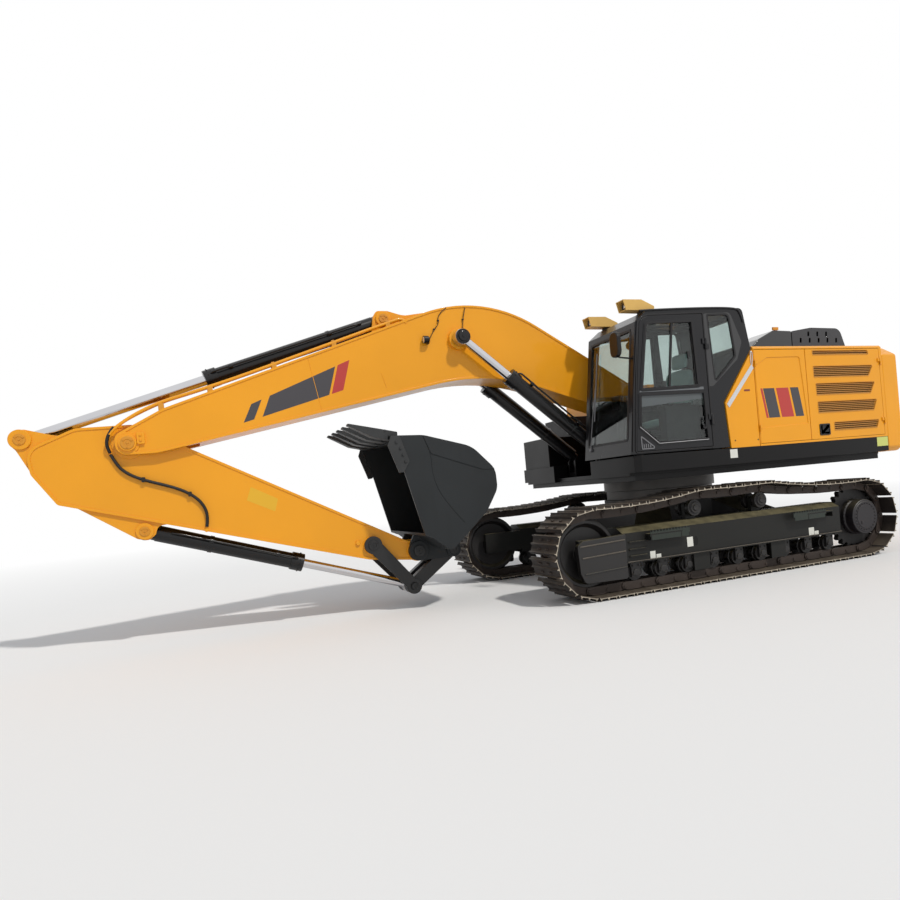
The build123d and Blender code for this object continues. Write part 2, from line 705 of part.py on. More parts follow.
def cab_door():
    """Door leaf with its two window openings, hinge blocks and grab bar."""
    y1 = CAB_LEFT + 6
    y0 = CAB_LEFT - 36
    leaf = slab_of(grown(DOOR_OUTLINE, -5), y0, y1)
    leaf -= slab(DOOR_UPPER, y0 - 5, y1 + 5)
    leaf -= slab(DOOR_LOWER, y0 - 5, y1 + 5)
    for z in DOOR_HINGES:
        leaf += hinge_half(DOOR_AXIS, z + 60 + RUN, z + 120, 45, (y1 - 2, DOOR_AXIS[1] - 1), 14, 8, 0)
    return leaf


def door_glass():
    """Two panes in the door."""
    y1 = CAB_LEFT - 8
    return [slab(DOOR_UPPER, y1 - GLASS, y1), slab(DOOR_LOWER, y1 - GLASS, y1)]


def operator_seat():
    """Seat with suspension box, cushion, back and headrest."""
    y = (CAB_LEFT + CAB_RIGHT) / 2
    base = block(250, 650, y - 200, y + 200, CAB_FLOOR + CAB_WALL, 1790)
    cushion = fillet(block(230, 740, y - 245, y + 245, 1788, 1900).edges().filter_by(Axis.Z), 60)
    back = slab([(240, 1895), (370, 1895), (290, 2480), (180, 2480)], y - 235, y + 235)
    head = slab([(200, 2478), (275, 2478), (260, 2660), (185, 2660)], y - 130, y + 130)
    return base + cushion + back + head


def cab_controls():
    """Side consoles, levers, travel pedals and monitor."""
    y = (CAB_LEFT + CAB_RIGHT) / 2
    z0 = CAB_FLOOR + CAB_WALL
    left = block(330, 800, y + 262, y + 400, z0, 2010)
    right = block(180, 900, y - 420, y - 262, z0, 2010)
    left += Pos(740, y + 330, 2000) * Cylinder(18, 210, align=(Align.CENTER, Align.CENTER, Align.MIN))
    right += Pos(740, y - 330, 2000) * Cylinder(18, 210, align=(Align.CENTER, Align.CENTER, Align.MIN))
    left += Pos(740, y + 330, 2205) * Cylinder(30, 90, align=(Align.CENTER, Align.CENTER, Align.MIN))
    right += Pos(740, y - 330, 2205) * Cylinder(30, 90, align=(Align.CENTER, Align.CENTER, Align.MIN))
    pedals = block(980, 1100, y - 150, y + 150, z0, z0 + 60)
    for s in (-1, 1):
        pedals += slab([(1010, z0 + 50), (1045, z0 + 50), (1075, 2180), (1045, 2180)], y + s * 70 - 12, y + s * 70 + 12)
    return [left, right, pedals]


def tanks():
    """Fuel tank and hydraulic tank on the right side."""
    w = BODY_HALF_WIDTH
    fuel = block(-330, 480, -w, -560, BEAM_TOP, 2420)
    fuel = fillet(fuel.edges().filter_by(Axis.X), 40)
    hydraulic = block(DOOR_SPLIT + 8, -340, -w, -560, BEAM_TOP, 2540)
    hydraulic = fillet(hydraulic.edges().filter_by(Axis.Z), 40)
    hydraulic += Pos(-760, -1000, 2535) * Cylinder(90, 60, align=(Align.CENTER, Align.CENTER, Align.MIN))
    return fuel, hydraulic


def tool_box():
    """Front right box with two steps."""
    w = BODY_HALF_WIDTH
    box = block(490, 1240, -w, -700, BEAM_TOP, 1880)
    box += block(490, 860, -w, -700, 1875, 2150)
    return box


# Booms, arms and cylinders

def boom_body():
    """Gooseneck box with forked tip, foot boss and cylinder lugs."""
    f = BOOM_FOOT
    p = BOOM_TIP
    top = [
        (f[0] - 40, f[1] + 150), (1119, 2814), (1690, 3140), (2090, 3315), (2665, 3410), (3230, 3310), (3678, 3138),
        (4561, 2848), (6117, 2300), (p[0] + 120, p[1] + 160),
    ]
    low = [
        (p[0] + 60, p[1] - 130), (6120, 1905), (5659, 1939), (4624, 2160), (3752, 2347), (3092, 2495),
        (2600, 2545), (2150, 2500), (1638, 2385), (1179, 2262), (f[0] + 30, f[1] - 145),
    ]
    body = slab(top + low, -BOOM_HALF, BOOM_HALF)
    body += pin(f, 152, -BOOM_HALF, BOOM_HALF)
    body += pin(p, 175, -BOOM_HALF, BOOM_HALF)
    body += pin(p, 120, -BOOM_HALF - 28, BOOM_HALF + 28)
    mouth = [
        (p[0] + 400, p[1] - 400), (p[0] - 660, p[1] - 400), (p[0] - 640, p[1] - 15), (p[0] - 460, p[1] + 90),
        (p[0] - 440, p[1] + 420), (p[0] + 400, p[1] + 420),
    ]
    body -= slab(mouth, -ARM_HALF - 10, ARM_HALF + 10)
    body += pin(p, BOOM_TIP_PIN, -BOOM_HALF, BOOM_HALF)
    body -= pin(f, BOOM_FOOT_PIN + RUN, -BOOM_HALF - 20, BOOM_HALF + 20)
    body += pin(BOOM_CYL_EYE, 120, -BOOM_HALF - 40, BOOM_HALF + 40)
    e = ARM_CYL_FOOT
    lug = [
        (e[0] + 105, e[1] + 20), (e[0] + 40, e[1] + 100), (e[0] - 70, e[1] + 90), (2620, 3380),
        (3050, 3250), (3700, 3080),
    ]
    lugs = slab(lug, LUG_INNER, LUG_OUTER) + pin(e, 85, LUG_OUTER - 5, LUG_OUTER + 25)
    body += mirrored(lugs)
    body += pin(e, ARM_CYL_PIN, -LUG_INNER - 5, LUG_INNER + 5)
    return body


def arm_body():
    """Arm box with open tail between its cylinder lugs."""
    t = ARM_TAIL
    k = BUCKET_PIN
    outline = [
        (7090, 2145), (6686, 2172), (6375, 2190), (6252, 2200), (6090, 2150), (5706, 1929), (4685, 1377),
        (4027, 989), (3560, 760), (k[0] - 60, k[1] + 105), (k[0] - 115, k[1] + 10), (k[0] - 60, k[1] - 100),
        (4007, 602), (5864, 1166), (6898, 1477), (7095, 1830),
    ]
    body = slab(outline, -ARM_HALF, ARM_HALF)
    body += pin(k, 118, -ARM_HALF, ARM_HALF)
    body -= pin(BOOM_TIP, BOOM_TIP_PIN + RUN, -ARM_HALF - 5, ARM_HALF + 5)
    notch = [
        (t[0] - 430, t[1] + 200), (t[0] - 430, t[1] - 60), (t[0] - 330, t[1] - 140), (t[0] - 60, t[1] - 300),
        (t[0] + 200, t[1] - 300), (t[0] + 200, t[1] + 200),
    ]
    body -= slab(notch, -LUG_INNER, LUG_INNER)
    lug = [
        (t[0] - 250, t[1] + 55), (t[0] - 20, t[1] + 98), (t[0] + 85, t[1] + 50), (t[0] + 95, t[1] - 40),
        (t[0] + 30, t[1] - 110), (t[0] - 80, t[1] - 330), (t[0] - 350, t[1] - 330),
    ]
    lugs = slab(lug, LUG_INNER, LUG_OUTER) + pin(t, 95, LUG_INNER, LUG_OUTER + 22)
    body += mirrored(lugs)
    c = BUCKET_CYL_FOOT
    fin = [
        (c[0] - 95, c[1] - 40), (c[0] - 30, c[1] - 95), (c[0] + 70, c[1] - 70), (c[0] + 560, c[1] + 280),
        (c[0] + 100, c[1] + 200), (c[0] - 330, c[1] + 60),
    ]
    fins = slab(fin, LUG_INNER, LUG_OUTER) + pin(c, 82, LUG_OUTER - 5, LUG_OUTER + 22)
    body += mirrored(fins)
    body += pin(c, BUCKET_CYL_PIN, -LUG_INNER - 5, LUG_INNER + 5)
    body += pin(ROCKER_PIN, 100, -ARM_HALF, ARM_HALF)
    body += pin(ROCKER_PIN, ROCKER_BORE_PIN, -ARM_HALF - 50, ARM_HALF + 50)
    body += pin(k, BUCKET_PIN_RADIUS, -ARM_HALF - 80, ARM_HALF + 80)
    return body


def rocker_links():
    """Pair of guide links between arm and bucket cylinder."""
    links = []
    r = length_of(ROCKER_PIN, LINK_PIN)
    for s in (-1, 1):
        y = s * (ARM_HALF + 27)
        web = make_face(Polyline((0, 78), (r, 66), (r, -66), (0, -78), close=True)) - Circle(60)
        web -= Pos(r, 0) * Circle(60)
        solid = extrude(Plane.XZ.offset(-17.5) * (Circle(98) + Pos(r, 0) * Circle(88) + web), amount=35)
        solid -= extrude(Plane.XZ.offset(-30) * Circle(ROCKER_BORE_PIN + RUN), amount=60)
        solid -= extrude(Plane.XZ.offset(-30) * Pos(r, 0) * Circle(LINK_STUB + RUN), amount=60)
        links.append(aimed(solid, ROCKER_PIN, LINK_PIN, y))
    return links


def bucket_link():
    """Power link with a forked end round the cylinder eye."""
    a = LINK_PIN
    b = EAR_PIN
    run = length_of(a, b)
    outline = make_face(Polyline((0, 72), (run, 74), (run, -74), (0, -72), close=True))
    face = Circle(85) + outline + Pos(run, 0) * Circle(82)
    solid = extrude(Plane.XZ.offset(-ARM_HALF + 5) * face, amount=2 * ARM_HALF - 10)
    fork = Pos(-150, 0, 0) * Box(150 + run * 0.52, 132, 400, align=(Align.MIN, Align.CENTER, Align.CENTER))
    solid -= fork
    for s in (-1, 1):
        y0 = 66 if s > 0 else -ARM_HALF - 58
        solid += extrude(Plane.XZ.offset(-y0 - (ARM_HALF + 58 - 66)) * Circle(LINK_STUB), amount=ARM_HALF + 58 - 66)
    return aimed(solid, a, b)


def cylinder(foot, eye, radius, rod, eye_half, foot_half, gland, pin_radius, neck=95, y=0):
    """Barrel and rod of one cylinder, both from the foot pin towards the eye."""
    run = length_of(foot, eye)
    barrel = bar(neck, gland, radius) + bar(gland - 130, gland, radius + 14)
    barrel += extrude(Plane.XZ.offset(-foot_half) * Circle(radius + 8), amount=2 * foot_half)
    barrel += bar(60, neck + 20, min(radius - 6, foot_half - 4))
    barrel -= bar(neck + 40, gland + 10, rod + RUN)
    barrel -= extrude(Plane.XZ.offset(-foot_half - 20) * Circle(pin_radius + RUN), amount=2 * foot_half + 40)
    stem = bar(gland - STEM_INSIDE, run - 60, rod)
    stem += extrude(Plane.XZ.offset(-eye_half) * Pos(run, 0) * Circle(radius + 4), amount=2 * eye_half)
    return aimed(barrel, foot, eye, y), aimed(stem, foot, eye, y)


def bucket_body():
    """Bucket shell with side plates, lip and ears."""
    w = BUCKET_HALF
    outer = [
        (3800, 1905), (3450, 1895), (2920, 1745), (2655, 1480), (2645, 1258), (2790, 1019), (3010, 800),
        (3232, 640), (3420, 790), (3510, 830),
    ]
    inner = [
        (3830, 1872), (3455, 1866), (2935, 1718), (2684, 1468), (2674, 1265), (2812, 1038), (3035, 826),
        (3240, 680), (3405, 815), (3560, 860),
    ]
    body = slab(outer, -w, w) - slab(inner, -w + 28, w - 28)
    q = EAR_PIN
    k = BUCKET_PIN
    ear = [
        (q[0] - 80, q[1] + 20), (q[0] - 55, q[1] - 62), (q[0] + 25, q[1] - 84), (k[0] + 20, k[1] - 112),
        (k[0] + 112, k[1] - 20), (k[0] + 90, k[1] + 90), (3480, 850), (3240, 760), (2990, 900), (2930, 905),
    ]
    y0 = ARM_HALF + 8
    ears = slab(ear, y0, y0 + 40)
    ears += pin(q, 84, y0, y0 + 62) + pin(k, 112, y0, y0 + 62)
    ears -= pin(k, BUCKET_PIN_RADIUS + RUN, y0 - 10, y0 + 80)
    body += mirrored(ears)
    return body


def bucket_teeth():
    """Five teeth on their adapters."""
    out = []
    for i in range(5):
        y = -600 + 300 * i
        tooth = slab([(3700, 1912), (3700, 1945), (3900, 1990), (4200, 2060), (4210, 2040), (3960, 1905), (3780, 1862), (3700, 1866)], y - 50, y + 50)
        tooth -= slab([(3600, 1868), (3801, 1871), (3801, 1906), (3600, 1906)], y - 60, y + 60)
        out.append(tooth)
    return out


def main():
    both = (1, -1)
    save("carbody", carbody())
    save("tow_eyes", [tow_eye(s) for s in both])
    save("track_frame_left", side_frame(1))
    save("track_frame_right", side_frame(-1))
    save("track_left", track(1))
    save("track_right", track(-1))
    save("front_idlers", [idler(s) for s in both])
    save("drive_sprockets", [sprocket(s) for s in both])
    save("final_drives", [final_drive(s) for s in both])
    save("track_rollers", rollers(1) + rollers(-1))
    save("carrier_rollers", carriers(1) + carriers(-1))
    save("slew_ring", slew_ring())
    save("upper_frame", upper_frame())
    save("counterweight", counterweight())
    save("engine_housing", engine_housing())
    save("left_front_panel", left_front_panel())
    x0 = BODY_REAR + 49
    rear = (BODY_REAR + 47, 40)
    save("louvre_door", service_door(x0, DOOR_SPLIT - 3, 1, rear))
    save("left_service_door", service_door(DOOR_SPLIT + 3, LEFT_FRONT - 12, 1, (LEFT_FRONT - 10, -40)))
    save("right_service_door", service_door(x0, DOOR_SPLIT - 49, -1, rear))
    save("engine_hood", engine_hood())
    save("engine_block", block(-2350, -1500, -700, 500, DECK_BOTTOM + 110, 2450))
    save("cab_shell", cab_shell())
    save("cab_windows", cab_windows())
    save("cab_door", cab_door())
    save("cab_door_glass", door_glass())
    save("operator_seat", operator_seat())
    save("cab_controls", cab_controls())
    fuel, hydraulic = tanks()
    save("fuel_tank", fuel)
    save("hydraulic_tank", hydraulic)
    save("tool_box", tool_box())
    save("boom", boom_body())
    save("arm", arm_body())
    run = length_of(BOOM_CYL_FOOT, BOOM_CYL_EYE)
    barrels = []
    rods = []
    for s in both:
        b, r = cylinder(BOOM_CYL_FOOT, BOOM_CYL_EYE, BOOM_BARREL, BOOM_ROD, 58, 58, run - 705,
                        BOOM_FOOT_CYL_PIN, 165, s * BOOM_CYL_Y)
        barrels.append(b)
        rods.append(r)
    save("boom_cylinder_barrels", barrels)
    save("boom_cylinder_rods", rods)
    b, r = cylinder(ARM_CYL_FOOT, ARM_TAIL, ARM_BARREL, ARM_ROD, EYE_HALF, EYE_HALF, 2000, ARM_CYL_PIN)
    save("arm_cylinder_barrel", b)
    save("arm_cylinder_rod", r)
    b, r = cylinder(BUCKET_CYL_FOOT, LINK_PIN, BUCKET_BARREL, BUCKET_ROD, 58, EYE_HALF, 1570, BUCKET_CYL_PIN)
    save("bucket_cylinder_barrel", b)
    save("bucket_cylinder_rod", r)
    save("rocker_links", rocker_links())
    save("bucket_link", bucket_link())
    save("bucket", bucket_body())
    save("bucket_teeth", bucket_teeth())


if __name__ == "__main__":
    main()
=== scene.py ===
import json
import math

import bmesh
import bpy
from mathutils import Matrix, Vector


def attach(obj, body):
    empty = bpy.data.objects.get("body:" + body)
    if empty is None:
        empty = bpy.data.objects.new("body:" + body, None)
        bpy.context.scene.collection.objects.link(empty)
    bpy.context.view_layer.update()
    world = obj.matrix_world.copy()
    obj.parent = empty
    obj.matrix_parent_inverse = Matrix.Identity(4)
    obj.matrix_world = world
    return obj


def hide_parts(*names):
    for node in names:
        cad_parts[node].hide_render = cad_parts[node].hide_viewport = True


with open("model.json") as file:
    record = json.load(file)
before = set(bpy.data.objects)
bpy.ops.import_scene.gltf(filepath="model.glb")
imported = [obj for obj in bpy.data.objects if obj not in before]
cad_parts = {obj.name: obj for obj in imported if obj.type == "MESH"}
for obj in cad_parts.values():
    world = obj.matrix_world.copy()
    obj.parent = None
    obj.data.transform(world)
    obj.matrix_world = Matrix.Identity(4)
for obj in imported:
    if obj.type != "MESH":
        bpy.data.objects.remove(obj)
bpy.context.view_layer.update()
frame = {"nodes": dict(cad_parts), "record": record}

# Image and camera, fitted to the photograph
IMAGE_SIZE = 900
FOCAL_PIXELS = 706.32
PRINCIPAL_POINT = (498.94, 493.44)
CAMERA_PLACE = Vector((5.6647, 7.8959, 1.2782))
CAMERA_YAW = -1.97108
CAMERA_PITCH = -0.0099345
CAMERA_ROLL = -0.0900449
SENSOR = 36.0

# Light and floor
SUN_FROM = Vector((-0.25, 0.62, 0.74))
SUN_STRENGTH = 1.95
SUN_WIDTH = math.radians(3)
SUN_COLOUR = (1.0, 0.97, 0.92)
SKY_STRENGTH = 0.52
SKY_COLOUR = (0.93, 0.96, 1.0, 1)
FLOOR_COLOUR = (0.86, 0.86, 0.86, 1)
FLOOR_RADIUS = 60
FLOOR_FADE = (9, 26)


def srgb(r, g, b):
    """Linear colour from screen bytes."""
    out = []
    for v in (r, g, b):
        c = v / 255
        out.append(c / 12.92 if c <= 0.04045 else ((c + 0.055) / 1.055) ** 2.4)
    return (*out, 1.0)


# Materials

slot_of_material = {}


def nodes_of(name):
    """New material with its shader, ready for textures."""
    material = bpy.data.materials.new(name)
    material.use_nodes = True
    tree = material.node_tree
    return material, tree, tree.nodes["Principled BSDF"]


def add(tree, kind, links=(), values=(), **settings):
    """Shader node with its settings, its socket values and the links into it."""
    node = tree.nodes.new("ShaderNode" + kind)
    for name, value in settings.items():
        setattr(node, name, value)
    for socket, value in dict(values).items():
        node.inputs[socket].default_value = value
    for socket, source in dict(links).items():
        tree.links.new(source, node.inputs[socket])
    return node


def noise(tree, scale, detail=3.0, stretch=(1, 1, 1)):
    """Noise in the machine's own coordinates."""
    here = add(tree, "TexCoord").outputs["Object"]
    scaled = add(tree, "Mapping", {"Vector": here}, {"Scale": stretch}).outputs["Vector"]
    return add(tree, "TexNoise", {"Vector": scaled}, {"Scale": scale, "Detail": detail}).outputs["Fac"]


def ranged(tree, value, low, high, out_low, out_high):
    """Value mapped from one range to another, held at its ends."""
    ends = {"From Min": low, "From Max": high, "To Min": out_low, "To Max": out_high}
    return add(tree, "MapRange", {"Value": value}, ends).outputs["Result"]


def mixed(tree, factor, first, second):
    """Blend of two colours, each a tuple or a socket."""
    node = add(tree, "Mix", {"Factor": factor}, data_type="RGBA")
    for socket, value in ((node.inputs[6], first), (node.inputs[7], second)):
        if isinstance(value, tuple):
            socket.default_value = value
        else:
            tree.links.new(value, socket)
    return node.outputs[2]


def upward(tree, low, high):
    """1 on faces that look up, 0 on the rest."""
    normal = add(tree, "NewGeometry").outputs["Normal"]
    return ranged(tree, add(tree, "SeparateXYZ", {"Vector": normal}).outputs["Z"], low, high, 0, 1)


def shaded(colour, factor):
    """Colour made darker or lighter."""
    return (colour[0] * factor, colour[1] * factor, colour[2] * factor, 1.0)


def surface(name, slot, colour, rough, metallic=0.0, coat=0.0, specular=0.5, spread=0.08, patches=1.3,
            peel=0.0002, peel_scale=420, dust=None, dust_share=0.0, streaks=0.0):
    """Painted or bare surface with patches, fine bump, and dust where it looks up."""
    slot_of_material[name] = slot
    colour = srgb(*colour)
    material, tree, shader = nodes_of(name)
    for socket, value in (("Metallic", metallic), ("Coat Weight", coat), ("Coat Roughness", 0.08),
                          ("Specular IOR Level", specular)):
        shader.inputs[socket].default_value = value
    broad = noise(tree, patches, 4)
    base = mixed(tree, ranged(tree, broad, 0.3, 0.7, 0, 1), shaded(colour, 1 - spread), shaded(colour, 1 + spread))
    if streaks:
        run = noise(tree, 3.0, 3, (4, 4, 0.35))
        base = mixed(tree, ranged(tree, run, 0.55, 0.75, 0, streaks), base, shaded(colour, 0.55))
    if dust:
        spots = ranged(tree, noise(tree, 9, 5), 0.25, 0.6, 0.35 * dust_share, dust_share)
        worn = add(tree, "Math", {0: upward(tree, 0.25, 0.9), 1: spots}, operation="MULTIPLY")
        base = mixed(tree, worn.outputs["Value"], base, srgb(*dust))
    tree.links.new(base, shader.inputs["Base Color"])
    tree.links.new(ranged(tree, broad, 0.3, 0.7, rough * 0.85, rough * 1.15), shader.inputs["Roughness"])
    bump = add(tree, "Bump", {"Height": noise(tree, peel_scale, 2)}, {"Strength": 0.35, "Distance": peel})
    tree.links.new(bump.outputs["Normal"], shader.inputs["Normal"])
    return material


def glass(name, slot, tint):
    """Clear pane with a light tint."""
    slot_of_material[name] = slot
    material, tree, shader = nodes_of(name)
    shader.inputs["Transmission Weight"].default_value = 1.0
    shader.inputs["IOR"].default_value = 1.45
    smear = noise(tree, 2.2, 3)
    tree.links.new(ranged(tree, smear, 0.4, 0.8, 0.0, 0.06), shader.inputs["Roughness"])
    tree.links.new(mixed(tree, smear, tint, shaded(tint, 0.9)), shader.inputs["Base Color"])
    return material


DUST = (120, 112, 84)
yellow = surface("yellow paint", "body_yellow", (232, 156, 22), 0.36, coat=0.2, specular=0.3, spread=0.05,
                 peel=0.00025, patches=0.9)
# Darker copy of the yellow paint, for clamps, pin end caps, grille frames and the hood tab.
yellow_dark = surface("yellow paint, darker tone", "body_yellow", (206, 138, 30), 0.5, spread=0.08)
black = surface("black paint", "body_black", (12, 11, 12), 0.36, coat=0.15, specular=0.25, spread=0.12)
cab_black = surface("cab paint", "body_black", (20, 20, 23), 0.28, coat=0.2, specular=0.25, spread=0.08)
frame_paint = surface("frame paint", "frame_black", (22, 22, 20), 0.5, specular=0.3, spread=0.2, dust=DUST,
                      dust_share=0.75, streaks=0.3, peel=0.0005, peel_scale=120)
steel = surface("track steel", "track_steel", (44, 38, 35), 0.62, metallic=0.25, specular=0.35, spread=0.25,
                patches=6, dust=(128, 116, 100), dust_share=0.5, peel=0.0009, peel_scale=90)
bucket_paint = surface("bucket paint", "bucket_grey", (31, 34, 36), 0.5, specular=0.3, spread=0.14, patches=2.2,
                       streaks=0.25, peel=0.0006, peel_scale=110)
chrome = surface("chromed rod", "rod_chrome", (205, 205, 208), 0.12, metallic=1.0, spread=0.04, peel=0.00005)
iron = surface("bare iron", "bare_iron", (96, 94, 92), 0.5, metallic=0.6, spread=0.15, peel=0.0008, peel_scale=140)
pane = glass("cab glass", "cab_glass", (0.62, 0.7, 0.68, 1.0))
fabric = surface("seat fabric", "seat_fabric", (168, 198, 196), 0.9, specular=0.2, spread=0.1, peel=0.001,
                 peel_scale=900)
plastic = surface("cab plastic", "cab_plastic", (34, 34, 36), 0.6, specular=0.35, spread=0.1, peel=0.00015,
                  peel_scale=600)
rubber = surface("hose rubber", "cab_plastic", (24, 23, 22), 0.55, specular=0.35, spread=0.15, peel=0.0004,
                 peel_scale=700)

hood_grey = surface("hood paint", "body_black", (38, 38, 42), 0.34, coat=0.3, specular=0.45, spread=0.06)
gloss_black = surface("gloss black paint", "body_black", (17, 17, 19), 0.16, coat=0.6, spread=0.08)
cylinder_black = surface("cylinder paint", "body_black", (12, 11, 13), 0.3, coat=0.2, specular=0.3, spread=0.1)
drive_black = surface("drive paint", "frame_black", (24, 20, 24), 0.5, spread=0.14, dust=DUST, dust_share=0.3)
link_black = surface("link paint", "body_black", (18, 18, 19), 0.42, spread=0.15, peel=0.0005, peel_scale=120)
beam_black = surface("beam paint", "body_black", (10, 9, 10), 0.38, specular=0.22, spread=0.1, streaks=0.15)
wheel_black = surface("roller paint", "frame_black", (27, 25, 25), 0.5, spread=0.2, dust=DUST, dust_share=0.4)
tooth_black = surface("tooth steel", "bucket_grey", (44, 45, 46), 0.5, metallic=0.3, spread=0.2, patches=7)
worn_steel = surface("worn steel", "track_steel", (176, 166, 150), 0.42, metallic=0.6, spread=0.2, patches=14)
link_steel = surface("chain steel", "track_steel", (60, 51, 46), 0.55, metallic=0.35, spread=0.2, patches=8)
step_green = surface("step paint", "frame_black", (24, 34, 26), 0.55, spread=0.15)
label_white = surface("blank label", "frame_black", (214, 214, 206), 0.5, spread=0.03)
label_green = surface("pale green label", "body_black", (196, 202, 112), 0.5, spread=0.03)
# Near black for holes drawn as flat discs: painted shade inside the holes.
painted_hole_shade = surface("painted shade of a hole", "body_yellow", (12, 12, 12), 0.9, spread=0.1)
seal = surface("rubber seal", "cab_plastic", (20, 19, 21), 0.5, specular=0.35, spread=0.1)
belt_grey = surface("belt paint", "body_black", (92, 95, 98), 0.36, coat=0.2, spread=0.05)
trim_silver = surface("bright trim", "body_yellow", (205, 205, 206), 0.24, metallic=0.9, spread=0.04)
trim_grey = surface("grey trim", "cab_plastic", (112, 112, 115), 0.4, metallic=0.3, spread=0.06)
visor_tan = surface("visor paint", "body_yellow", (214, 172, 92), 0.45, spread=0.08)
# Brown sheet set behind the louvre slats: painted shade of the dark bay between the slats.
painted_louvre_shade = surface("painted louvre shade", "body_yellow", (104, 72, 40), 0.7, spread=0.12)
# Slat yellow darkened to brown: painted shade between the slats.
shaded_slat_yellow = surface("slat paint, painted shade", "body_yellow", (186, 132, 62), 0.5, spread=0.06)
lens = surface("lamp lens", "body_black", (216, 220, 224), 0.1, metallic=0.7, spread=0.05)
band_dark = surface("dark band", "body_yellow", (52, 49, 54), 0.35, coat=0.3, spread=0.05)
band_red = surface("red band", "body_yellow", (178, 44, 36), 0.35, coat=0.3, spread=0.05)
film_grey = surface("grey film", "cab_plastic", (74, 80, 82), 0.3, coat=0.2, spread=0.06)
label_yellow = surface("blank yellow label", "body_yellow", (224, 172, 34), 0.45, spread=0.04)
rail_steel = surface("rail edge", "frame_black", (82, 76, 68), 0.5, metallic=0.3, spread=0.2, patches=10)
oxide = surface("red brown metal", "body_yellow", (122, 56, 38), 0.5, spread=0.1)

SLOT_MATERIALS = {
    slot_of_material[material.name]: material
    for material in (yellow, black, frame_paint, steel, bucket_paint, chrome, pane, fabric, plastic, iron)
}
slot_of_node = {part["node"]: part["material_slot"] for part in frame["record"]["subparts"]}
bodies = frame["record"]["behaviour"]["bodies"]
body_of_node = {node: body for body, nodes in bodies.items() for node in nodes}


# Shapes

BEVEL_ANGLE = math.radians(35)
SHARP_ANGLE = math.radians(38)
FLAT_ANGLE = math.radians(0.6)
WELD = 0.00004
SIDES = (-1, 1)


def linked(name, data):
    """New object in the scene."""
    piece = bpy.data.objects.new(name, data)
    bpy.context.scene.collection.objects.link(piece)
    return piece


def evaluated(piece, *helpers):
    """Final mesh of an object, which is then removed with its helpers."""
    mesh = bpy.data.meshes.new_from_object(piece.evaluated_get(bpy.context.evaluated_depsgraph_get()))
    for one in (piece, *helpers):
        bpy.data.objects.remove(one)
    return mesh


def place(name, mesh, material, body, stands_for=()):
    """Object of a finished mesh that rides on its body."""
    mesh.materials.clear()
    mesh.materials.append(material)
    piece = linked(name, mesh)
    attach(piece, body)
    if stands_for:
        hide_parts(*stands_for)
    return piece


def rounded(mesh, width, segments=2):
    """The mesh with its sharp edges rounded and its curved faces smooth."""
    holder = linked("holder", mesh)
    if width:
        bevel = holder.modifiers.new("edges", "BEVEL")
        bevel.width = width
        bevel.segments = segments
        bevel.limit_method = "ANGLE"
        bevel.angle_limit = BEVEL_ANGLE
        bevel.use_clamp_overlap = True
    out = evaluated(holder)
    for face in out.polygons:
        face.use_smooth = True
    out.set_sharp_from_angle(angle=SHARP_ANGLE)
    return out


def weighted(piece):
    """Flat faces keep flat shading beside rounded edges."""
    normals = piece.modifiers.new("normals", "WEIGHTED_NORMAL")
    normals.keep_sharp = True
    normals.weight = 80
    return piece


def edged(node, material, width):
    """The shape of a CAD node with rounded edges and its material."""
    slot = slot_of_node[node]
    out = rounded(finished(node_form(node)), width)
    return weighted(place(node + "_shown", out, material or SLOT_MATERIALS[slot], body_of_node[node], [node]))


def finished(form, name="form"):
    """Mesh of a bmesh, which is then freed."""
    mesh = bpy.data.meshes.new(name)
    form.to_mesh(mesh)
    form.free()
    return mesh


def mesh_of(form):
    """Finished mesh of a bmesh, its faces all outward."""
    bmesh.ops.recalc_face_normals(form, faces=form.faces)
    return finished(form)


def node_form(node):
    """Shape of a CAD node with its flat faces joined up."""
    form = bmesh.new()
    form.from_mesh(frame["nodes"][node].data)
    bmesh.ops.remove_doubles(form, verts=form.verts, dist=WELD)
    bmesh.ops.dissolve_limit(form, angle_limit=FLAT_ANGLE, verts=form.verts, edges=form.edges)
    return form


def merged(meshes):
    """One mesh of several."""
    form = bmesh.new()
    for mesh in meshes:
        form.from_mesh(mesh)
        bpy.data.meshes.remove(mesh)
    return finished(form, "merged")


def prism(outline, low, high):
    """Side view outline made solid between two widths."""
    form = bmesh.new()
    first = [form.verts.new((x, low, z)) for x, z in outline]
    last = [form.verts.new((x, high, z)) for x, z in outline]
    form.faces.new(first)
    form.faces.new(last[::-1])
    for i in range(len(outline)):
        form.faces.new((first[i - 1], first[i], last[i], last[i - 1]))
    return mesh_of(form)


def ring(outer, inner, low, high):
    """Band between two outlines of as many points, made solid between two widths."""
    form = bmesh.new()
    loops = []
    for outline, y in ((outer, low), (outer, high), (inner, high), (inner, low)):
        loops.append([form.verts.new((x, y, z)) for x, z in outline])
    for a, b in zip(loops, loops[1:] + loops[:1]):
        for i in range(len(a)):
            form.faces.new((a[i - 1], a[i], b[i], b[i - 1]))
    return mesh_of(form)


def corners(rows, steps=5):
    """Outline of rows of x, z and corner radius, in metres."""
    out = []
    for i, (x, z, radius) in enumerate(rows):
        here = Vector((x, z))
        back = Vector(rows[i - 1][:2]) - here
        on = Vector(rows[(i + 1) % len(rows)][:2]) - here
        if radius <= 0:
            out.append((x, z))
            continue
        half = back.angle(on) / 2
        reach = radius / math.tan(half)
        start = here + back.normalized() * reach
        end = here + on.normalized() * reach
        middle = here + (back.normalized() + on.normalized()).normalized() * (radius / math.sin(half))
        for k in range(steps + 1):
            chord = start.lerp(end, k / steps) - middle
            out.append(tuple(middle + chord.normalized() * radius))
    return out


def box_outline(x0, x1, z0, z1):
    """Rectangle in the side view."""
    return [(x0, z0), (x1, z0), (x1, z1), (x0, z1)]


def pad(x0, x1, z0, z1, radius, steps=5):
    """Rectangle in the side view with rounded corners."""
    return corners([(x, z, radius) for x, z in box_outline(x0, x1, z0, z1)], steps)


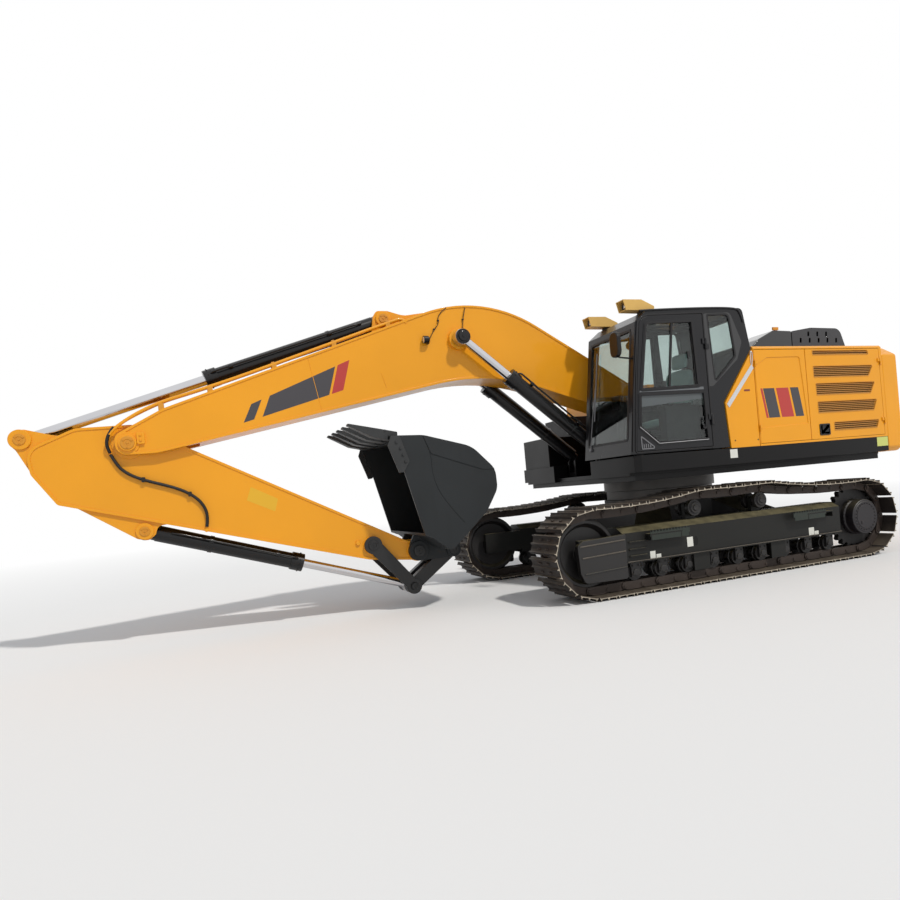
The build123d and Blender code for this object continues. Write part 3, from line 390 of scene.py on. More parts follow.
def inset(outline, amount):
    """Outline moved inward by an amount."""
    area = sum(a[0] * b[1] - b[0] * a[1] for a, b in zip(outline, outline[1:] + outline[:1]))
    side = 1 if area > 0 else -1
    out = []
    for i in range(len(outline)):
        here = Vector(outline[i])
        before = (here - Vector(outline[i - 1])).normalized()
        after = (Vector(outline[(i + 1) % len(outline)]) - here).normalized()
        along = before + after
        if along.length < 1e-6:
            along = after
        along.normalize()
        normal = Vector((-along.y, along.x)) * side
        stretch = max(0.4, normal.dot(Vector((-after.y, after.x)) * side))
        out.append(tuple(here + normal * amount / stretch))
    return out


def rim_of(outline, outer, inner, low, high):
    """Band between two insets of an outline."""
    return ring(inset(outline, outer), inset(outline, inner), low, high)


def lathe(profile, at, axis=(0, 1, 0), segments=32):
    """Turned form from rows of distance along its axis and radius."""
    form = bmesh.new()
    turn = Vector((0, 0, 1)).rotation_difference(Vector(axis))
    rings = []
    for along, radius in profile:
        loop = []
        for k in range(segments):
            a = 2 * math.pi * k / segments
            loop.append(form.verts.new(Vector(at) + turn @ Vector((radius * math.cos(a), radius * math.sin(a), along))))
        rings.append(loop)
    for a, b in zip(rings, rings[1:]):
        for k in range(segments):
            form.faces.new((a[k - 1], a[k], b[k], b[k - 1]))
    form.faces.new(rings[0])
    form.faces.new(rings[-1][::-1])
    return mesh_of(form)


def line(name, points, radius, straight=False, around=3, along=8):
    """Round curve on its control points, smooth or straight sided."""
    data = bpy.data.curves.new(name, "CURVE")
    data.dimensions = "3D"
    data.bevel_depth = radius
    data.bevel_resolution = around
    data.resolution_u = along
    data.use_fill_caps = True
    spline = data.splines.new("POLY" if straight else "NURBS")
    spline.points.add(len(points) - 1)
    for point, at in zip(spline.points, points):
        point.co = (*at, 1)
    if not straight:
        spline.order_u = 3
        spline.use_endpoint_u = True
    return linked(name, data)


def tube(points, radius, straight=False):
    """Mesh of a round bar along a line."""
    return evaluated(line("line", points, radius, straight))


def level_tube(y, rows, radius, straight=False):
    """Mesh of a round bar that stays at one width."""
    return tube([(x, y, z) for x, z in rows], radius, straight)


def bolt(at, axis, size):
    """Hexagon head on a washer."""
    washer = lathe([(0, size * 0.95), (size * 0.18, size * 0.95)], at, axis, 20)
    head = lathe([(size * 0.18, size * 0.66), (size * 0.62, size * 0.66), (size * 0.75, size * 0.56)], at, axis, 6)
    return merged([washer, head])


def circle_of(at, y, radius, count, start=0.0):
    """Points round a side view centre."""
    return [
        (at[0] + radius * math.cos(start + 2 * math.pi * k / count), y,
         at[1] + radius * math.sin(start + 2 * math.pi * k / count))
        for k in range(count)
    ]


def show(name, mesh, material, body, width=0, stands_for=(), slot=None):
    """Piece of a mesh, or of several, with its edges rounded where a width is given."""
    mesh = merged(mesh) if isinstance(mesh, list) else mesh
    slot = slot or slot_of_material[material.name]
    return weighted(place(name, rounded(mesh, width), material, body, stands_for))


# Hose along the arm, with its route of x and z in the rest pose

HOSE_Y = 0.183
HOSE_RADIUS = 0.015
HOSE_ROUTE = [
    (6.412, 1.92), (6.368, 1.819), (6.307, 1.744), (6.212, 1.682), (6.092, 1.632), (5.932, 1.577), (5.782, 1.51),
    (5.667, 1.417), (5.612, 1.317), (5.602, 1.212), (5.618, 1.137),
]


def make_hose():
    """Arm hose on its route over the arm's left face."""
    hose = line("arm_hose_line", [(x, HOSE_Y, z) for x, z in HOSE_ROUTE], HOSE_RADIUS, around=4, along=10)
    hose.data.materials.append(rubber)
    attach(hose, "arm")


# Tracks

HALF_GAUGE = 1.295
SHOE_HALF = 0.3
SHOE_COUNT = 48
WHEEL_X = 1.985
WHEEL_Z = 0.49
PITCH = 0.405
CARRIERS = (0.553, -0.409)
CARRIER_LIFT = 0.095
SAG_STEPS = 5
ARC_STEPS = 18
LINK_AWAY = 0.0925
LINK_STEP = 0.007
LINK_HALF = 0.013
SHOE_BOLT_SHARES = (0.27, 0.72)
SHOE_BOLT_WIDTHS = (0.0755, 0.1085)
# Profiles of share along a run and distance out from the pins
SHOE_PROFILE = [
    (0.005, 0.052), (0.02, 0.06), (0.055, 0.0625), (0.07, 0.085), (0.1, 0.085), (0.125, 0.0625), (0.43, 0.06),
    (0.475, 0.082), (0.515, 0.082), (0.56, 0.06), (0.865, 0.0625), (0.89, 0.085), (0.925, 0.085),
    (0.95, 0.0625), (0.99, 0.056), (0.99, 0.04), (0.9, 0.048), (0.1, 0.048), (0.005, 0.04),
]
LINK_PROFILE = [
    (-0.18, -0.012), (-0.12, -0.04), (0.04, -0.049), (0.96, -0.049), (1.12, -0.04), (1.18, -0.012), (1.14, 0.018),
    (0.98, 0.03), (0.8, 0.04), (0.2, 0.04), (0.02, 0.03), (-0.14, 0.018),
]


def chain_pins():
    """Places of the chain's pins in the side view."""
    low = WHEEL_Z - PITCH
    top = WHEEL_Z + PITCH
    knots = [
        (WHEEL_X - 0.04, top, 0.04), (CARRIERS[0], top + CARRIER_LIFT, 0.012),
        (CARRIERS[1], top + CARRIER_LIFT, 0.046), (-WHEEL_X, top, 0),
    ]
    raw = []
    for a, b in zip(knots, knots[1:]):
        for i in range(SAG_STEPS):
            s = i / SAG_STEPS
            raw.append((a[0] + (b[0] - a[0]) * s, a[1] + (b[1] - a[1]) * s - a[2] * 4 * s * (1 - s)))
    for centre, first, steps in ((-WHEEL_X, 0.5, ARC_STEPS + 1), (WHEEL_X, -0.5, ARC_STEPS)):
        if centre > 0:
            raw.append((0, low))
        for i in range(steps):
            a = math.pi * (first + i / ARC_STEPS)
            raw.append((centre + PITCH * math.cos(a), WHEEL_Z + PITCH * math.sin(a)))
    loop = raw + raw[:1]
    runs = [math.dist(a, b) for a, b in zip(loop, loop[1:])]
    pins = []
    walked = 0.0
    k = 0
    for i in range(SHOE_COUNT):
        target = sum(runs) * i / SHOE_COUNT
        while walked + runs[k] < target:
            walked += runs[k]
            k += 1
        s = (target - walked) / runs[k]
        pins.append((loop[k][0] + (loop[k + 1][0] - loop[k][0]) * s, loop[k][1] + (loop[k + 1][1] - loop[k][1]) * s))
    return pins


def along_run(profile, a, b):
    """Profile of share along a run and distance outward, moved onto that run."""
    run = math.dist(a, b)
    ux, uz = (b[0] - a[0]) / run, (b[1] - a[1]) / run
    return [(a[0] + ux * run * s + uz * n, a[1] + uz * run * s - ux * n) for s, n in profile]


def make_track(side, name):
    """Chain of links, pins and bolted triple grouser shoes."""
    y = side * HALF_GAUGE
    pins = chain_pins()
    shoes, links = [], []
    for i, a in enumerate(pins):
        b = pins[(i + 1) % SHOE_COUNT]
        shoes.append(rounded(prism(along_run(SHOE_PROFILE, a, b), y - SHOE_HALF, y + SHOE_HALF), 0.003, 1))
        step = LINK_STEP if i % 2 else -LINK_STEP
        for s in SIDES:
            middle = y + s * (LINK_AWAY + step)
            links.append(prism(along_run(LINK_PROFILE, a, b), middle - LINK_HALF, middle + LINK_HALF))
            for share in SHOE_BOLT_SHARES:
                (x, z), (x_out, z_out) = along_run([(share, 0.06), (share, 0.07)], a, b)
                for dy in SHOE_BOLT_WIDTHS:
                    links.append(lathe([(0, 0.013), (0.011, 0.013), (0.014, 0.01)], (x, y + s * dy, z),
                                       (x_out - x, 0, z_out - z), 6))
        links.append(lathe([(-0.121, 0.016), (-0.12, 0.019), (0.12, 0.019), (0.121, 0.016)], (a[0], y, a[1]),
                           segments=16))
    track = place(name + "_shoes", merged(shoes), steel, "undercarriage", [name])
    track.data.materials.append(worn_steel)
    for face in track.data.polygons:
        if abs(face.normal.y) > 0.9:
            face.material_index = 1
    show(name + "_links", links, link_steel, "undercarriage", stands_for=[name])


# Undercarriage details

FRAME_FACE = 1.5
ROLLER_COUNT = 9
ROLLER_REACH = 1.42


def plate_pair(name, outline, low, high, material, width=0.002):
    """Flat plate on both sides of the lower frame."""
    plates = [prism(outline, s * low, s * high) for s in (1, -1)]
    return show(name, plates, material, "undercarriage", width, slot="frame_black")


def saw_edge(x0, x1, low, high, teeth, depth):
    """Plate outline with a saw toothed upper edge."""
    out = [(x1, low), (x0, low)]
    pitch = (x1 - x0) / teeth
    for k in range(teeth):
        out += [(x0 + pitch * (k + 0.1), high), (x0 + pitch * (k + 0.3), high - depth),
                (x0 + pitch * (k + 0.7), high - depth), (x0 + pitch * (k + 0.9), high)]
    return out


def make_undercarriage():
    """Steps, blank labels, guards, rail, bolts and covers of the roller frames."""
    for name, x0, x1 in (("front", 0.78, 1.3), ("rear", -1.24, -0.72)):
        plate_pair("step_teeth_" + name, saw_edge(x0, x1, 0.6, 0.668, 13, 0.022), 1.588, 1.594, step_green, 0.001)
        plate_pair("step_skirt_" + name, box_outline(x0 + 0.02, x1 - 0.02, 0.56, 0.618), 1.5905, 1.5935, step_green,
                   0.001)
    for name, *limits in (("mid", 0.68, 0.76, 0.425, 0.531), ("front", 1.19, 1.258, 0.348, 0.434),
                          ("low", 1.118, 1.18, 0.345, 0.395), ("rear", -1.12, -1.035, 0.355, 0.446),
                          ("end", -1.19, -1.125, 0.347, 0.398)):
        show("label_" + name, prism(box_outline(*limits), FRAME_FACE, FRAME_FACE + 0.0012), label_white,
             "undercarriage", 0.0004)
    turns = [a * math.pi / 12 for a in range(24)]
    oval = [(0.642 + 0.03 * math.cos(a), 0.481 + 0.052 * math.sin(a)) for a in turns]
    # Dark oval disc on the frame face: painted shade of the hole.
    plate_pair("frame_hole", oval, FRAME_FACE, FRAME_FACE + 0.0015, painted_hole_shade, 0)
    for k, z in enumerate((0.552, 0.474, 0.402)):
        plate_pair("frame_bar_%d" % k, box_outline(1.3, 1.52, z, z + 0.014), FRAME_FACE, FRAME_FACE + 0.022,
                   frame_paint)
    guard = corners([(1.565, 0.18, 0.03), (2.085, 0.19, 0.06), (2.135, 0.3, 0.06), (2.15, 0.59, 0.04),
                     (2.08, 0.636, 0.04), (1.56, 0.655, 0.01)])
    plate_pair("idler_guard", guard, 1.452, 1.522, wheel_black, 0.014)
    for k, z in enumerate((0.59, 0.47, 0.3)):
        tip = 2.125 - 0.02 * k
        ridge = [(1.575, z), (tip, z - 0.02), (tip, z - 0.004), (1.575, z + 0.016)]
        plate_pair("guard_ridge_%d" % k, ridge, 1.516, 1.531, rail_steel if k < 2 else wheel_black, 0.006)
    rails = [level_tube(s * 1.523, [(-1.55, 0.3535), (1.56, 0.3535)], 0.0055, True) for s in (1, -1)]
    show("frame_rail", rails, rail_steel, "undercarriage")
    roller_bolts, cover_bolts, hub_caps = [], [], []
    for s in SIDES:
        across = (0, s, 0)
        roller_face = s * (HALF_GAUGE + 0.15)
        for i in range(ROLLER_COUNT):
            x = ROLLER_REACH * (1 - 2 * i / (ROLLER_COUNT - 1))
            for dx in (-0.036, 0.036):
                for z, size in ((0.205, 0.016), (0.3, 0.014)):
                    roller_bolts.append(bolt((x + dx, roller_face, z), across, size))
            roller_bolts.append(lathe([(0, 0.036), (0.01, 0.036), (0.014, 0.026)], (x, roller_face, 0.2235), across,
                                      24))
        face = s * (HALF_GAUGE + 0.222)
        hub = (-WHEEL_X, WHEEL_Z)
        for y, radius, count, size in ((face, 0.165, 24, 0.011), (s * (HALF_GAUGE + 0.0805), 0.216, 30, 0.01)):
            cover_bolts += [bolt(at, across, size) for at in circle_of(hub, y, radius, count)]
        hub_caps += [
            lathe([(0, 0.15), (0.004, 0.15), (0.006, 0.143)], (-WHEEL_X, face - 0.001, WHEEL_Z), across, 48),
            lathe([(0, 0.21), (0.004, 0.216), (0.06, 0.216), (0.066, 0.208), (0.066, 0.19)],
                  (-WHEEL_X, face - s * 0.072, WHEEL_Z), across, 56),
            lathe([(0, 0.022), (0.01, 0.022), (0.013, 0.016)], (-WHEEL_X + 0.07, face, WHEEL_Z - 0.07), across, 6),
        ]
        cap = [(0, 0.07), (0.005, 0.07), (0.008, 0.06), (0.004, 0.05), (0.004, 0.03), (0.01, 0.022)]
        hub_caps += [lathe(cap, (x, s * (HALF_GAUGE + 0.1215), 0.847), across) for x in CARRIERS]
    show("roller_bolts", roller_bolts, wheel_black, "undercarriage")
    show("drive_bolts", cover_bolts, drive_black, "undercarriage")
    show("hub_caps", hub_caps, drive_black, "undercarriage", 0.001)


# Cab

CAB_SIDE = 1.457
DOOR_FRAME_FACE = 1.4685
CAB_MIDDLE = 0.966
CAB_HINGE_HEIGHTS = (1.76, 2.62)
DOOR_UPPER = [(0.382, 2.205, 0.015), (1.163, 2.182, 0.015), (1.036, 2.92, 0.06), (0.402, 2.948, 0.015)]
DOOR_LOWER = [(0.3, 1.598, 0.02), (0.985, 1.588, 0.03), (1.216, 1.776, 0.03), (1.186, 2.138, 0.015),
              (0.312, 2.146, 0.015)]
QUARTER = [(0.15, 2.225, 0.03), (0.19, 3.022, 0.02), (-0.134, 3.034, 0.06), (-0.192, 2.535, 0.06)]
RIGHT = [(0.26, 2.18, 0.02), (1.165, 2.17, 0.02), (1.04, 2.915, 0.06), (0.26, 2.975, 0.02)]
DOOR_EDGE = [(0.25, 1.512, 0.015), (1.29, 1.512, 0.025), (1.222, 2.17, 0), (1.115, 2.95, 0.09),
             (1.0, 2.995, 0.06), (0.25, 3.03, 0.015)]


def make_cab():
    """Seals, sash, handle, mouldings and small fittings of the cab."""
    for name, rows, body, face in (("door_upper", DOOR_UPPER, "door", DOOR_FRAME_FACE),
                                   ("door_lower", DOOR_LOWER, "door", DOOR_FRAME_FACE),
                                   ("quarter", QUARTER, "upper", CAB_SIDE)):
        show("seal_" + name, rim_of(corners(rows), -0.004, 0.02, face - 0.02, face + 0.003), seal, body, 0.0015)
    border = corners([(0.236, 3.026, 0.03), (-0.15, 3.046, 0.06), (-0.29, 2.705, 0.06), (-0.205, 2.5, 0.04),
                      (0.175, 2.2, 0.03), (0.236, 2.196, 0.01)])
    rim = cut(prism(border, 1.4562, 1.4592), prism(inset(corners(QUARTER), 0.001), 1.45, 1.47))
    show("quarter_border", rim, gloss_black, "upper", slot="cab_glass")
    for name, rows in (("right_rear", QUARTER), ("right", RIGHT)):
        show("seal_" + name, rim_of(corners(rows), -0.004, 0.02, 0.495, 0.472), seal, "upper", 0.0015)
    show("door_seal", rim_of(corners(DOOR_EDGE), -0.016, 0.001, CAB_SIDE - 0.004, CAB_SIDE + 0.008), seal, "upper",
         0.003)
    for name, outline, low, high, material, width in (
            ("door_sash", [(0.693, 2.925), (0.665, 2.927), (0.768, 2.2), (0.796, 2.199)], 1.444, 1.462, seal, 0.002),
            ("door_sash_rear", [(0.425, 2.935), (0.402, 2.936), (0.398, 2.212), (0.421, 2.211)], 1.444, 1.458, seal,
             0.002),
            ("sash_latch", pad(0.47, 0.505, 2.52, 2.6, 0.008), 1.449, 1.466, plastic, 0.003),
            ("door_belt", [(0.318, 2.152), (0.322, 2.196), (1.184, 2.172), (1.19, 2.144)], 1.455, 1.4665, belt_grey,
             0.003),
            ("door_film", [(0.322, 2.066), (0.326, 2.132), (1.186, 2.126), (1.198, 1.995)], 1.4492, 1.45, film_grey,
             0)):
        show(name, prism(outline, low, high), material, "door", width)
    bright = level_tube(1.47, [(1.2235, 1.782), (0.99, 1.59), (0.312, 1.598)], 0.0035, True)
    show("door_trim", bright, trim_silver, "door", slot="cab_plastic")
    outer = corners([(1.06, 1.535, 0.012), (1.222, 1.535, 0.012), (1.226, 1.692, 0.012), (1.052, 1.56, 0.012)])
    show("vent_frame", rim_of(outer, 0, 0.012, 1.46, 1.47), trim_grey, "door", 0.002)
    vanes = [prism([(x, 1.552), (x + 0.012, 1.552), (x + 0.012, 1.6), (x, 1.59)], 1.461, 1.468)
             for x in (1.1, 1.128, 1.156, 1.184)]
    show("vent_vanes", vanes, trim_grey, "door", 0.001)
    handle = [lathe([(0, 0.026), (0.008, 0.026), (0.012, 0.02)], (0.352, 1.465, 1.742), segments=24),
              tube([(0.352, 1.47, 1.742), (0.352, 1.486, 1.744), (0.345, 1.49, 1.79), (0.338, 1.488, 1.85)], 0.008)]
    show("door_handle", handle, plastic, "door", 0.001)
    pillar = [(1.328, 1.52), (1.345, 1.52), (1.262, 2.215), (1.135, 3.0), (1.118, 3.0), (1.245, 2.213)]
    show("pillar_moulding", prism(pillar, CAB_SIDE - 0.004, CAB_SIDE + 0.012), cab_black, "upper", 0.005)
    gutter = tube([(1.1, 1.462, 3.046), (0.95, 1.462, 3.058), (0.25, 1.462, 3.09), (-0.22, 1.462, 3.098),
                   (-0.3, 1.461, 3.06), (-0.335, 1.46, 2.93)], 0.011)
    show("roof_gutter", gutter, cab_black, "upper")


# Seat

def cushion(name, size, place_at, turn, crown):
    """Crowned pad with pulled in sides and two sewn channels."""
    form = bmesh.new()
    bmesh.ops.create_cube(form, size=1)
    bmesh.ops.subdivide_edges(form, edges=form.edges, cuts=11, use_grid_fill=True)
    for v in form.verts:
        u, w, h = v.co.x * 2, v.co.y * 2, v.co.z * 2
        side = max(abs(u), abs(w))
        round_off = 1 - 0.1 * (abs(u) ** 3) * (abs(w) ** 3)
        swell = crown * (1 - u * u) * (1 - w * w)
        channel = 0.01 * math.exp(-((abs(w) - 0.52) / 0.05) ** 2) * (1 - abs(u) ** 6)
        x = v.co.x * size[0] * round_off * (1 + 0.02 * (1 - h * h))
        y = v.co.y * size[1] * round_off * (1 + 0.03 * (1 - h * h))
        z = v.co.z * size[2] * (1 - 0.35 * max(0, side - 0.72) / 0.28)
        if h > 0:
            z += (swell - channel) * h
        v.co = (x, y, z)
    turned = Matrix.Translation(place_at) @ Matrix.Rotation(turn, 4, "Y")
    bmesh.ops.transform(form, matrix=turned, verts=form.verts)
    mesh = finished(form, name)
    for face in mesh.polygons:
        face.use_smooth = True
    piece = place(name, mesh, fabric, "upper", ["operator_seat"])
    soft = piece.modifiers.new("soft", "SUBSURF")
    soft.levels = 1
    soft.render_levels = 1


def make_seat():
    """Sprung seat with cushion, back and headrest."""
    y = CAB_MIDDLE
    for name, size, x, z, turn, crown in (
            ("seat_cushion", (0.49, 0.47, 0.105), 0.485, 1.842, 0, 0.012),
            ("seat_back", (0.56, 0.45, 0.11), 0.285, 2.18, -97, 0.012),
            ("seat_head", (0.17, 0.25, 0.065), 0.236, 2.57, -96, 0.006)):
        cushion(name, size, (x, y, z), math.radians(turn), crown)
    base = corners([(0.255, 1.54, 0.02), (0.645, 1.54, 0.02), (0.645, 1.785, 0.03), (0.255, 1.785, 0.03)])
    folds = [prism(inset(base, 0.008), y - 0.19, y + 0.19)]
    for k in range(6):
        z = 1.575 + 0.035 * k
        folds.append(prism(pad(0.252, 0.648, z, z + 0.022, 0.008, 3), y - 0.198, y + 0.198))
    show("seat_base", folds, plastic, "upper", 0.002, ["operator_seat"], "seat_fabric")


# Shapes cut from each other

def cut(mesh, *tools):
    """Mesh with the tools taken from it one after the other."""
    for tool in tools:
        holder, other = linked("holder", mesh), linked("tool", tool)
        step = holder.modifiers.new("cut", "BOOLEAN")
        step.operation = "DIFFERENCE"
        step.solver = "EXACT"
        step.object = other
        mesh = evaluated(holder, other)
    return mesh


def from_mm(rows, at=(0, 0)):
    """Rows of millimetres from a pin, as metres."""
    return [((at[0] + row[0]) / 1000, (at[1] + row[1]) / 1000, *[r / 1000 for r in row[2:]]) for row in rows]


def boss(at, radius, low, high, edge=0.004):
    """Round boss across the machine with chamfered ends, its place in millimetres."""
    low, high = sorted((low, high))
    long = high - low
    profile = [(0, radius - edge), (edge, radius), (long - edge, radius), (long, radius - edge)]
    return lathe(profile, (at[0] / 1000, low, at[1] / 1000), segments=48)


def box(x0, x1, y0, y1, z0, z1):
    """Box between its limits."""
    return prism(box_outline(x0, x1, z0, z1), y0, y1)


def bosses(*rows):
    """Bosses of rows of place, radius and half width, or of the two widths of a pair."""
    out = []
    for at, radius, *widths in rows:
        if len(widths) == 1:
            out.append(boss(at, radius, -widths[0], widths[0]))
        else:
            out += [boss(at, radius, s * widths[0], s * widths[1]) for s in SIDES]
    return out


def twin_plates(outline, low, high, width):
    """Rounded plates of one outline on both sides."""
    return [rounded(prism(outline, s * low, s * high), width) for s in SIDES]


def plated(outline, half, flange=0.024, lip=0.01):
    """Welded box whose side plates lie in from the edges of its flanges."""
    fields = [prism(inset(outline, flange), s * (half - lip), s * (half + 0.02)) for s in SIDES]
    return cut(prism(outline, -half, half), *fields)


# Boom, arm and bucket: x and z of the pins and of the boom's crown in millimetres, the rest in metres
BOOM_FOOT = (120, 2050)
BOOM_TIP = (6252, 2017)
BOOM_CYL_FOOT = (950, 1500)
BOOM_CYL_EYE = (2767, 3008)
ARM_CYL_FOOT = (3600, 3268)
ARM_TAIL = (7147, 2110)
BUCKET_CYL_FOOT = (6182, 1151)
ROCKER_PIN = (3954, 758)
LINK_PIN = (3534, 251)
BUCKET_PIN = (3450, 640)
EAR_PIN = (3040, 610)
BOOM_HALF = 0.25
BOOM_CROWN = (2423, 3571)
ARM_HALF = 0.165
BUCKET_HALF = 0.73
BUCKET_ROOM = 0.702
TOOTH_COUNT = 5
TOOTH_PITCH = 0.3
TOOTH_HALF = 0.075
TOOTH_ROOT = 3.92
TOOTH_REACH = 0.29
TOOTH_TAPER = 0.5
GLAND_BOLTS = 10


def make_boom():
    """Gooseneck boom with flanged sides, forked tip, bosses and lugs."""
    rows = (from_mm([(30, -145, 0), (-120, -90, 0), (-150, 30, 0), (-40, 150, 0)], BOOM_FOOT)
            + from_mm([(*BOOM_CROWN, 1675)])
            + from_mm([(-330, 319, 400), (110, 80, 90), (110, -112, 100), (-250, -112, 600)], BOOM_TIP)
            + from_mm([(2410, 2634, 2550)]))
    mouth = from_mm([(400, -400), (-660, -400), (-640, -15), (-460, 90), (-440, 420), (400, 420)], BOOM_TIP)
    lug = corners(from_mm([(112, 20, 0), (70, 92, 60), (-60, 92, 60), (-240, 40, 300), (-900, 140, 400),
                           (-1180, 50, 0), (-500, -40, 0), (150, -200, 0)], ARM_CYL_FOOT), 6)
    body = cut(plated(corners(rows, 14), BOOM_HALF), prism(mouth, -ARM_HALF - 0.01, ARM_HALF + 0.01))
    parts = [rounded(body, 0.003), *twin_plates(lug, 0.1, 0.134, 0.004)]
    parts += bosses((BOOM_FOOT, 0.152, BOOM_HALF), (BOOM_CYL_EYE, 0.12, 0.29), (BOOM_TIP, 0.108, 0.176, 0.2505),
                    (BOOM_TIP, 0.08, 0.24, 0.278), (BOOM_TIP, 0.055, 0.26), (ARM_CYL_FOOT, 0.085, 0.13, 0.159),
                    (ARM_CYL_FOOT, 0.045, 0.105))
    show("boom_form", parts, yellow, "boom", stands_for=["boom"])


def boom_top(x):
    """Height of the boom's upper edge ahead of its crown."""
    top = from_mm([BOOM_CROWN]) + from_mm([(-330, 319), (110, 80)], BOOM_TIP)
    for (xa, za), (xb, zb) in zip(top, top[1:]):
        if xa <= x <= xb:
            return za + (zb - za) * (x - xa) / (xb - xa)
    return top[-1][1]


def boom_trim():
    """Pipes in clamps, tip hose, side lamp with its wires, and weld seams of the boom."""
    x0, x1, rise = 3.423, 5.982, 0.038
    run = [(x, boom_top(max(x, x0)) + lift) for x, lift in (
        (x0 - 0.06, -0.02), (x0 - 0.02, rise), (x0 + 0.1, rise), (4.2, rise), (5.152, rise), (5.6, 0.052))]
    pipes = [level_tube(y, run + from_mm([(-230, 360), *end], BOOM_TIP), 0.016)
             for y, end in ((0.196, [(20, 216)]), (0.234, [(105, 160), (150, 90)]))]
    clamps = []
    for share in (0.06, 0.3, 0.55, 0.8, 0.98):
        x = x0 + (x1 - x0) * share
        z = boom_top(x)
        clamps.append(rounded(box(x - 0.026, x + 0.026, 0.172, 0.248, z - 0.01, z + rise + 0.02), 0.004))
        clamps.append(bolt((x, 0.215, z + rise + 0.02), (0, 0, 1), 0.012))
    show("boom_pipes", pipes, yellow, "boom")
    show("boom_clamps", clamps, yellow_dark, "boom")
    bend = tube([(6.357, 0.234, 2.177), (6.405, 0.234, 2.12), (6.432, 0.23, 2.04), (6.43, 0.215, 1.985),
                 (6.414, 0.19, 1.935)], 0.0155)
    show("tip_hose", bend, rubber, "boom")
    ahead = (1, 0, 0)
    shell = [(0, 0.03), (0.012, 0.042), (0.066, 0.044), (0.07, 0.04), (0.064, 0.038)]
    lamp = [boss((3140, 2968), 0.016, 0.239, 0.285), lathe(shell, (3.13, 0.292, 2.998), ahead)]
    show("boom_lamp", lamp, black, "boom")
    front = lathe([(0, 0.038), (0.006, 0.03), (0.008, 0.01)], (3.194, 0.292, 2.998), ahead)
    show("boom_lamp_lens", front, lens, "boom")
    wires = [tube([(3.12, 0.262, 3.0), (3.06, 0.258, 3.11), (2.985, 0.258, 3.19), (2.995, 0.258, 3.261),
                   (2.936, 0.258, 3.335), (2.88, 0.256, 3.372)], 0.0045),
             tube([(2.7, 0.258, 3.14), (2.686, 0.258, 3.25), (2.664, 0.258, 3.33), (2.65, 0.256, 3.378)], 0.0045)]
    for x, z in ((3.048, 3.125), (2.99, 3.225), (2.688, 3.24)):
        wires.append(rounded(box(x - 0.01, x + 0.01, 0.239, 0.264, z - 0.008, z + 0.008), 0.002))
    show("boom_wires", wires, rubber, "boom")
    seams = [level_tube(0.2405, ends, radius, True) for ends, radius in (
        ([(3.7, 2.64), (3.655, 2.48)], 0.004), ([(4.48, 2.82), (4.38, 2.24)], 0.003))]
    show("boom_seams", seams, yellow, "boom")


def make_arm():
    """Dipper arm with rounded tail, flanged sides, lugs, bosses, hose clips and blank label."""
    rows = (from_mm([(-60, 185, 150)], BOOM_TIP)
            + from_mm([(-450, 80, 260), (-32, -105, 160), (-62, -335, 100), (-254, -636, 50)], ARM_TAIL)
            + from_mm([(550, -38, 400), (-40, -112, 0), (-114, -40, 0), (-114, 40, 0), (-50, 106, 0),
                       (110, 120, 150)], BUCKET_PIN))
    notch = from_mm([(-430, 200), (-430, -60), (-330, -140), (-60, -300), (200, -300), (200, 200)], ARM_TAIL)
    lug = corners(from_mm([(-620, 62, 0), (-300, 18, 250), (-30, 97, 80), (80, 60, 30), (95, -35, 40), (40, -100, 60),
                           (-110, -420, 40), (-350, -420, 0)], ARM_TAIL), 6)
    fin = corners(from_mm([(-95, -40, 30), (-30, -95, 60), (70, -70, 80), (560, 280, 0), (100, 200, 0),
                           (-330, 60, 0), (-120, 40, 60)], BUCKET_CYL_FOOT), 6)
    body = cut(plated(corners(rows, 8), ARM_HALF), prism(notch, -0.1, 0.1))
    parts = [rounded(body, 0.003), *twin_plates(lug, 0.1, 0.134, 0.004), *twin_plates(fin, 0.1, 0.134, 0.004)]
    parts += bosses((BUCKET_PIN, 0.118, ARM_HALF), (BOOM_TIP, 0.15, 0.1, 0.1655), (ARM_TAIL, 0.094, 0.1, 0.156),
                    (BUCKET_CYL_FOOT, 0.082, 0.13, 0.156), (BUCKET_CYL_FOOT, 0.042, 0.105),
                    (ROCKER_PIN, 0.1, ARM_HALF), (ROCKER_PIN, 0.044, 0.215), (BUCKET_PIN, 0.048, 0.245))
    for at, radius, high in (((4112, 799), 0.026, 0.18), ((6424, 1948), 0.019, 0.198), ((5624, 1104), 0.019, 0.198)):
        parts.append(boss(at, radius, 0.15, high))
    show("arm_form", parts, yellow, "arm", stands_for=["arm"])
    clips = [rounded(prism(pad(x - 0.017, x + 0.017, z - 0.024, z + 0.024, 0.006, 3), 0.154, 0.203), 0.002)
             for x, z in ((6.15, 1.656), (5.745, 1.48))]
    show("hose_clips", clips, rubber, "arm")
    label = corners([(5.165, 1.505, 0.008), (4.905, 1.358, 0.008), (4.945, 1.228, 0.008), (5.215, 1.368, 0.008)], 3)
    show("arm_label", prism(label, 0.1545, 0.156), label_yellow, "arm")


